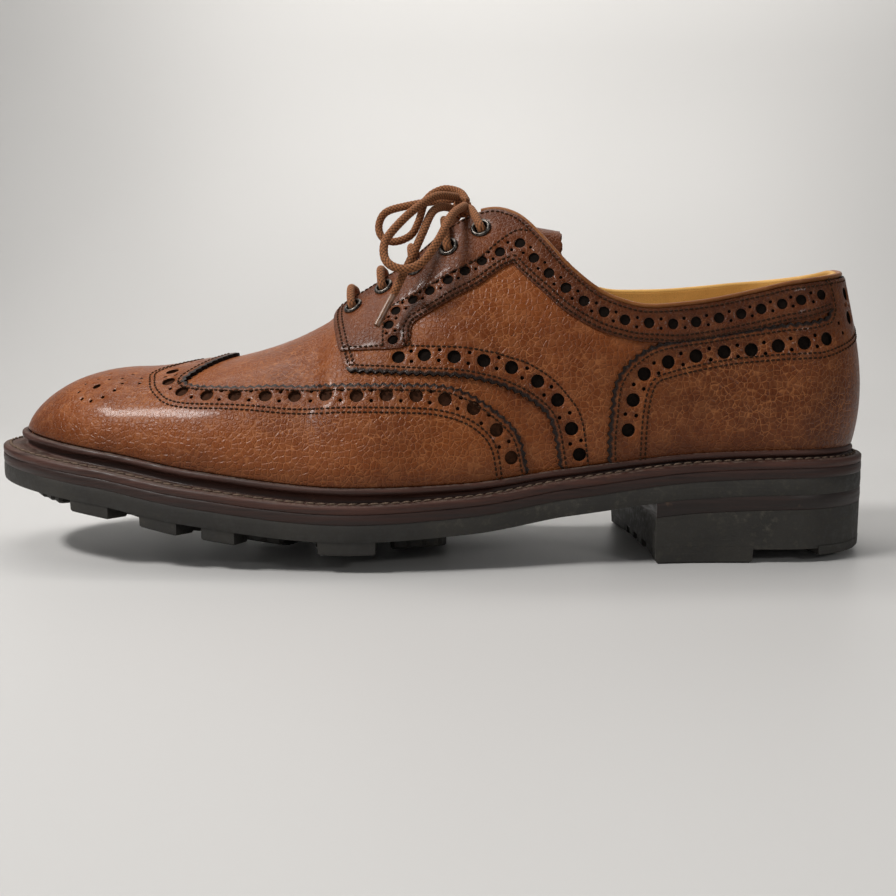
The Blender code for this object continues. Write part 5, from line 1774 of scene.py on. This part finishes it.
def midsole():
    """The leather midsole under the welt."""
    depths = (WELT_THICK - 0.1, WELT_THICK + GAP + MIDSOLE_THICK)
    made = layer("leather_midsole", depths, MIDSOLE)
    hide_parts("midsole")


def heel_along(x):
    """The rib whose sole edge lies at place x behind the heel's middle."""
    if x <= HEEL_CENTRE_X:
        return along_at(x)
    ribs = np.linspace(0, HEEL_ARC, 400)
    return float(ribs[np.argmin(np.abs(sole_edge(LATERAL, ribs)[:, 0] - x))])


def heel():
    """Leather lift, rubber block and the block's lugs."""
    breast = along_at(BREAST_X)
    depths = (HEEL_TOP - GAP, HEEL_TOP + HEEL_LIFT_THICK)
    lift = layer("heel_lift_leather", depths, HEEL_LEATHER, breast)
    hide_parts("heel_lift")
    ribs = sole_ribs(last=breast)
    tops = sole_grid(ribs, ACROSS, HEEL_TOP + HEEL_LIFT_THICK, 0.2)
    bottoms = sole_grid(ribs, ACROSS, 0.0, 0.4)
    bottoms[:, :, 2] = HEEL_LUG_DEPTH
    points, faces, _ = plate(tops, bottoms)
    points = list(points)

    def drop(corners, low):
        """Adds a lug under the block, down to a height."""
        count = len(corners)
        lug(points, faces, corners, np.full(count, HEEL_LUG_DEPTH + 0.8), np.full(count, low))

    (front, front_length), (rear, rear_length) = HEEL_LUGS
    for side in (LATERAL, MEDIAL):
        ends = [heel_along(front + share * front_length) for share in (-0.5, 0.5)]
        spots = np.linspace(*ends, 9)
        edge = outline_point(side, spots, column(PLAN, "welt", station(spots)[0]) - 0.3)
        centre = edge[:, 1].mean() * 0.42
        drop([*edge, *toothed((edge[-1][0], centre), (edge[0][0], centre), 4, 1.8, (0.0, -side))], 0.0)
    for side in (LATERAL, MEDIAL):
        edge = sole_edge(side, np.linspace(heel_along(rear - rear_length / 2), 3.0, 9))
        drop([*edge, *((x - 8.0, y * 0.45) for x, y in edge[::-1][2:-1])], HEEL_WEAR)
    start, stop, *reaches = HEEL_STAR
    for side in (LATERAL, MEDIAL):
        near, far = (side * reach for reach in reaches)
        drop([*toothed((start, near), (start, far), 2, 0.0, (-1.0, 0.0)),
              *toothed((start, far), (stop, far), 3, 1.4, (0.0, side)),
              *toothed((stop, far), (stop, near), 2, 1.2, (1.0, 0.0)), (stop, near)], 0.0)
    made = add_piece("rubber_heel", points, faces, [RUBBER], merge=0.01, soft_angle=30.0)
    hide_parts("heel_block")


def insole():
    """The sock inside the shoe."""
    ribs = sole_ribs()
    left = outline_point(LATERAL, ribs, -INSOLE_INSET + 0.8)
    right = outline_point(MEDIAL, ribs, -INSOLE_INSET + 0.8)
    share = (ACROSS + 1) / 2
    plan = left[:, None] + (right - left)[:, None] * share[None, :, None]
    x = station(ribs)[0]
    crown = column(PLAN, "crown", x)[:, None] * (1 - ACROSS[None, :] ** 2) ** 2
    low = column(PLAN, "deck_z", x)[:, None] - (WELT_THICK - INSOLE_LIFT) - crown
    tops = np.concatenate([plan, (low + INSOLE_THICK)[:, :, None]], 2)
    bottoms = np.concatenate([plan, low[:, :, None]], 2)
    points, faces, _ = plate(tops, bottoms)
    made = add_piece("tan_insole", points, faces, [LINING], merge=0.01)
    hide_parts("insole")


# Stage, light and camera

# Soft boxes: name, place, aim, size, power and colour.
LIGHTS = (
    ("top_box", (-0.12, 0.20, 0.95), (-0.04, 0.05, 0.05), (0.8, 0.5), 2.9, (1.0, 0.97, 0.93)),
    ("toe_box", (-0.57, -0.30, 0.76), (-0.08, -0.03, 0.05), (0.28, 0.10), 7.6, (1.0, 0.97, 0.94)),
    ("front_fill", (-0.55, -1.20, 0.40), (-0.03, 0.0, 0.06), (1.0, 0.6), 1.05, (1.0, 0.96, 0.91)),
    ("heel_card", (0.72, -0.72, 0.45), (0.12, -0.03, 0.09), (0.14, 0.09), 1.1, (1.0, 0.97, 0.94)),
    ("back_wash", (0.15, 0.45, 0.95), (0.15, 1.0, 0.35), (1.4, 0.5), 7.4, (1.0, 0.965, 0.925)),
)


def studio():
    """Pale floor that runs up into a backdrop, soft boxes above and to the side, and the camera."""
    f = Finish("pale_floor")
    cloud = f.noise(1.4, 2.0)
    f.colour(f.mix(f.ramp(cloud, 0.2, 0.8), (0.53, 0.53, 0.526), (0.585, 0.585, 0.58)))
    f.roughness(f.ramp(cloud, 0.2, 0.8, 0.36, 0.44))
    f.set(specular_ior_level=0.4)
    profile = [(-1.6, 0.0), (0.5, 0.0)]
    profile += [(0.5 + 0.5 * math.sin(t), 0.5 - 0.5 * math.cos(t)) for t in np.linspace(0.1, math.pi / 2, 14)]
    profile.append((1.0, 2.2))
    points = [(x, y, z) for y, z in profile for x in (-2.2, 2.2)]
    faces = [(2 * i, 2 * i + 1, 2 * i + 3, 2 * i + 2) for i in range(len(profile) - 1)]
    mesh = bpy.data.meshes.new("sweep")
    mesh.from_pydata(points, [], faces)
    mesh.materials.append(f.made)
    mesh.shade_smooth()
    sweep = bpy.data.objects.new("sweep", mesh)
    bpy.context.scene.collection.objects.link(sweep)
    for name, place, aim, size, power, warmth in LIGHTS:
        lamp = bpy.data.lights.new(name, "AREA")
        lamp.shape = "RECTANGLE"
        lamp.size, lamp.size_y = size
        lamp.energy = power
        lamp.color = warmth
        holder = bpy.data.objects.new(name, lamp)
        holder.location = place
        towards = np.array(aim) - np.array(place)
        holder.rotation_euler = Vector(towards).to_track_quat("-Z", "Y").to_euler()
        bpy.context.scene.collection.objects.link(holder)
    world = bpy.data.worlds.new("soft_room")
    world.use_nodes = True
    world.node_tree.nodes["Background"].inputs["Color"].default_value = (0.86, 0.88, 0.90, 1.0)
    world.node_tree.nodes["Background"].inputs["Strength"].default_value = 0.14
    bpy.context.scene.world = world
    bpy.context.scene.view_settings.view_transform = "Standard"
    lens = bpy.data.cameras.new("camera")
    lens.sensor_width = 36.0
    lens.lens = 36.0 * FOCAL / PICTURE
    lens.clip_start = 0.01
    eye = bpy.data.objects.new("camera", lens)
    eye.location = CAMERA_PLACE * MM
    eye.rotation_euler = (math.pi / 2 - CAMERA_DIP, 0.0, 0.0)
    bpy.context.scene.collection.objects.link(eye)
    bpy.context.scene.camera = eye


studio()
laces()
eyelets()
upper_wall()
wing_cap()
for word, side in (("lateral", LATERAL), ("medial", MEDIAL)):
    quarter(word, side)
    facing(word, side)
counter()
collar_roll()
tongue()
insole()
welt()
midsole()
outsole()
heel()
dark_sewing = stitch_tree("dark_sewing", THREAD)
for part, rows in stitch_rows.items():
    sew(part + "_stitches", rows, dark_sewing, STITCH_SIZE)
welt_sewing = stitch_tree("welt_sewing", WELT_THREAD)
sew("welt_stitches", welt_stitches(), welt_sewing, WELT_STITCH_SIZE)
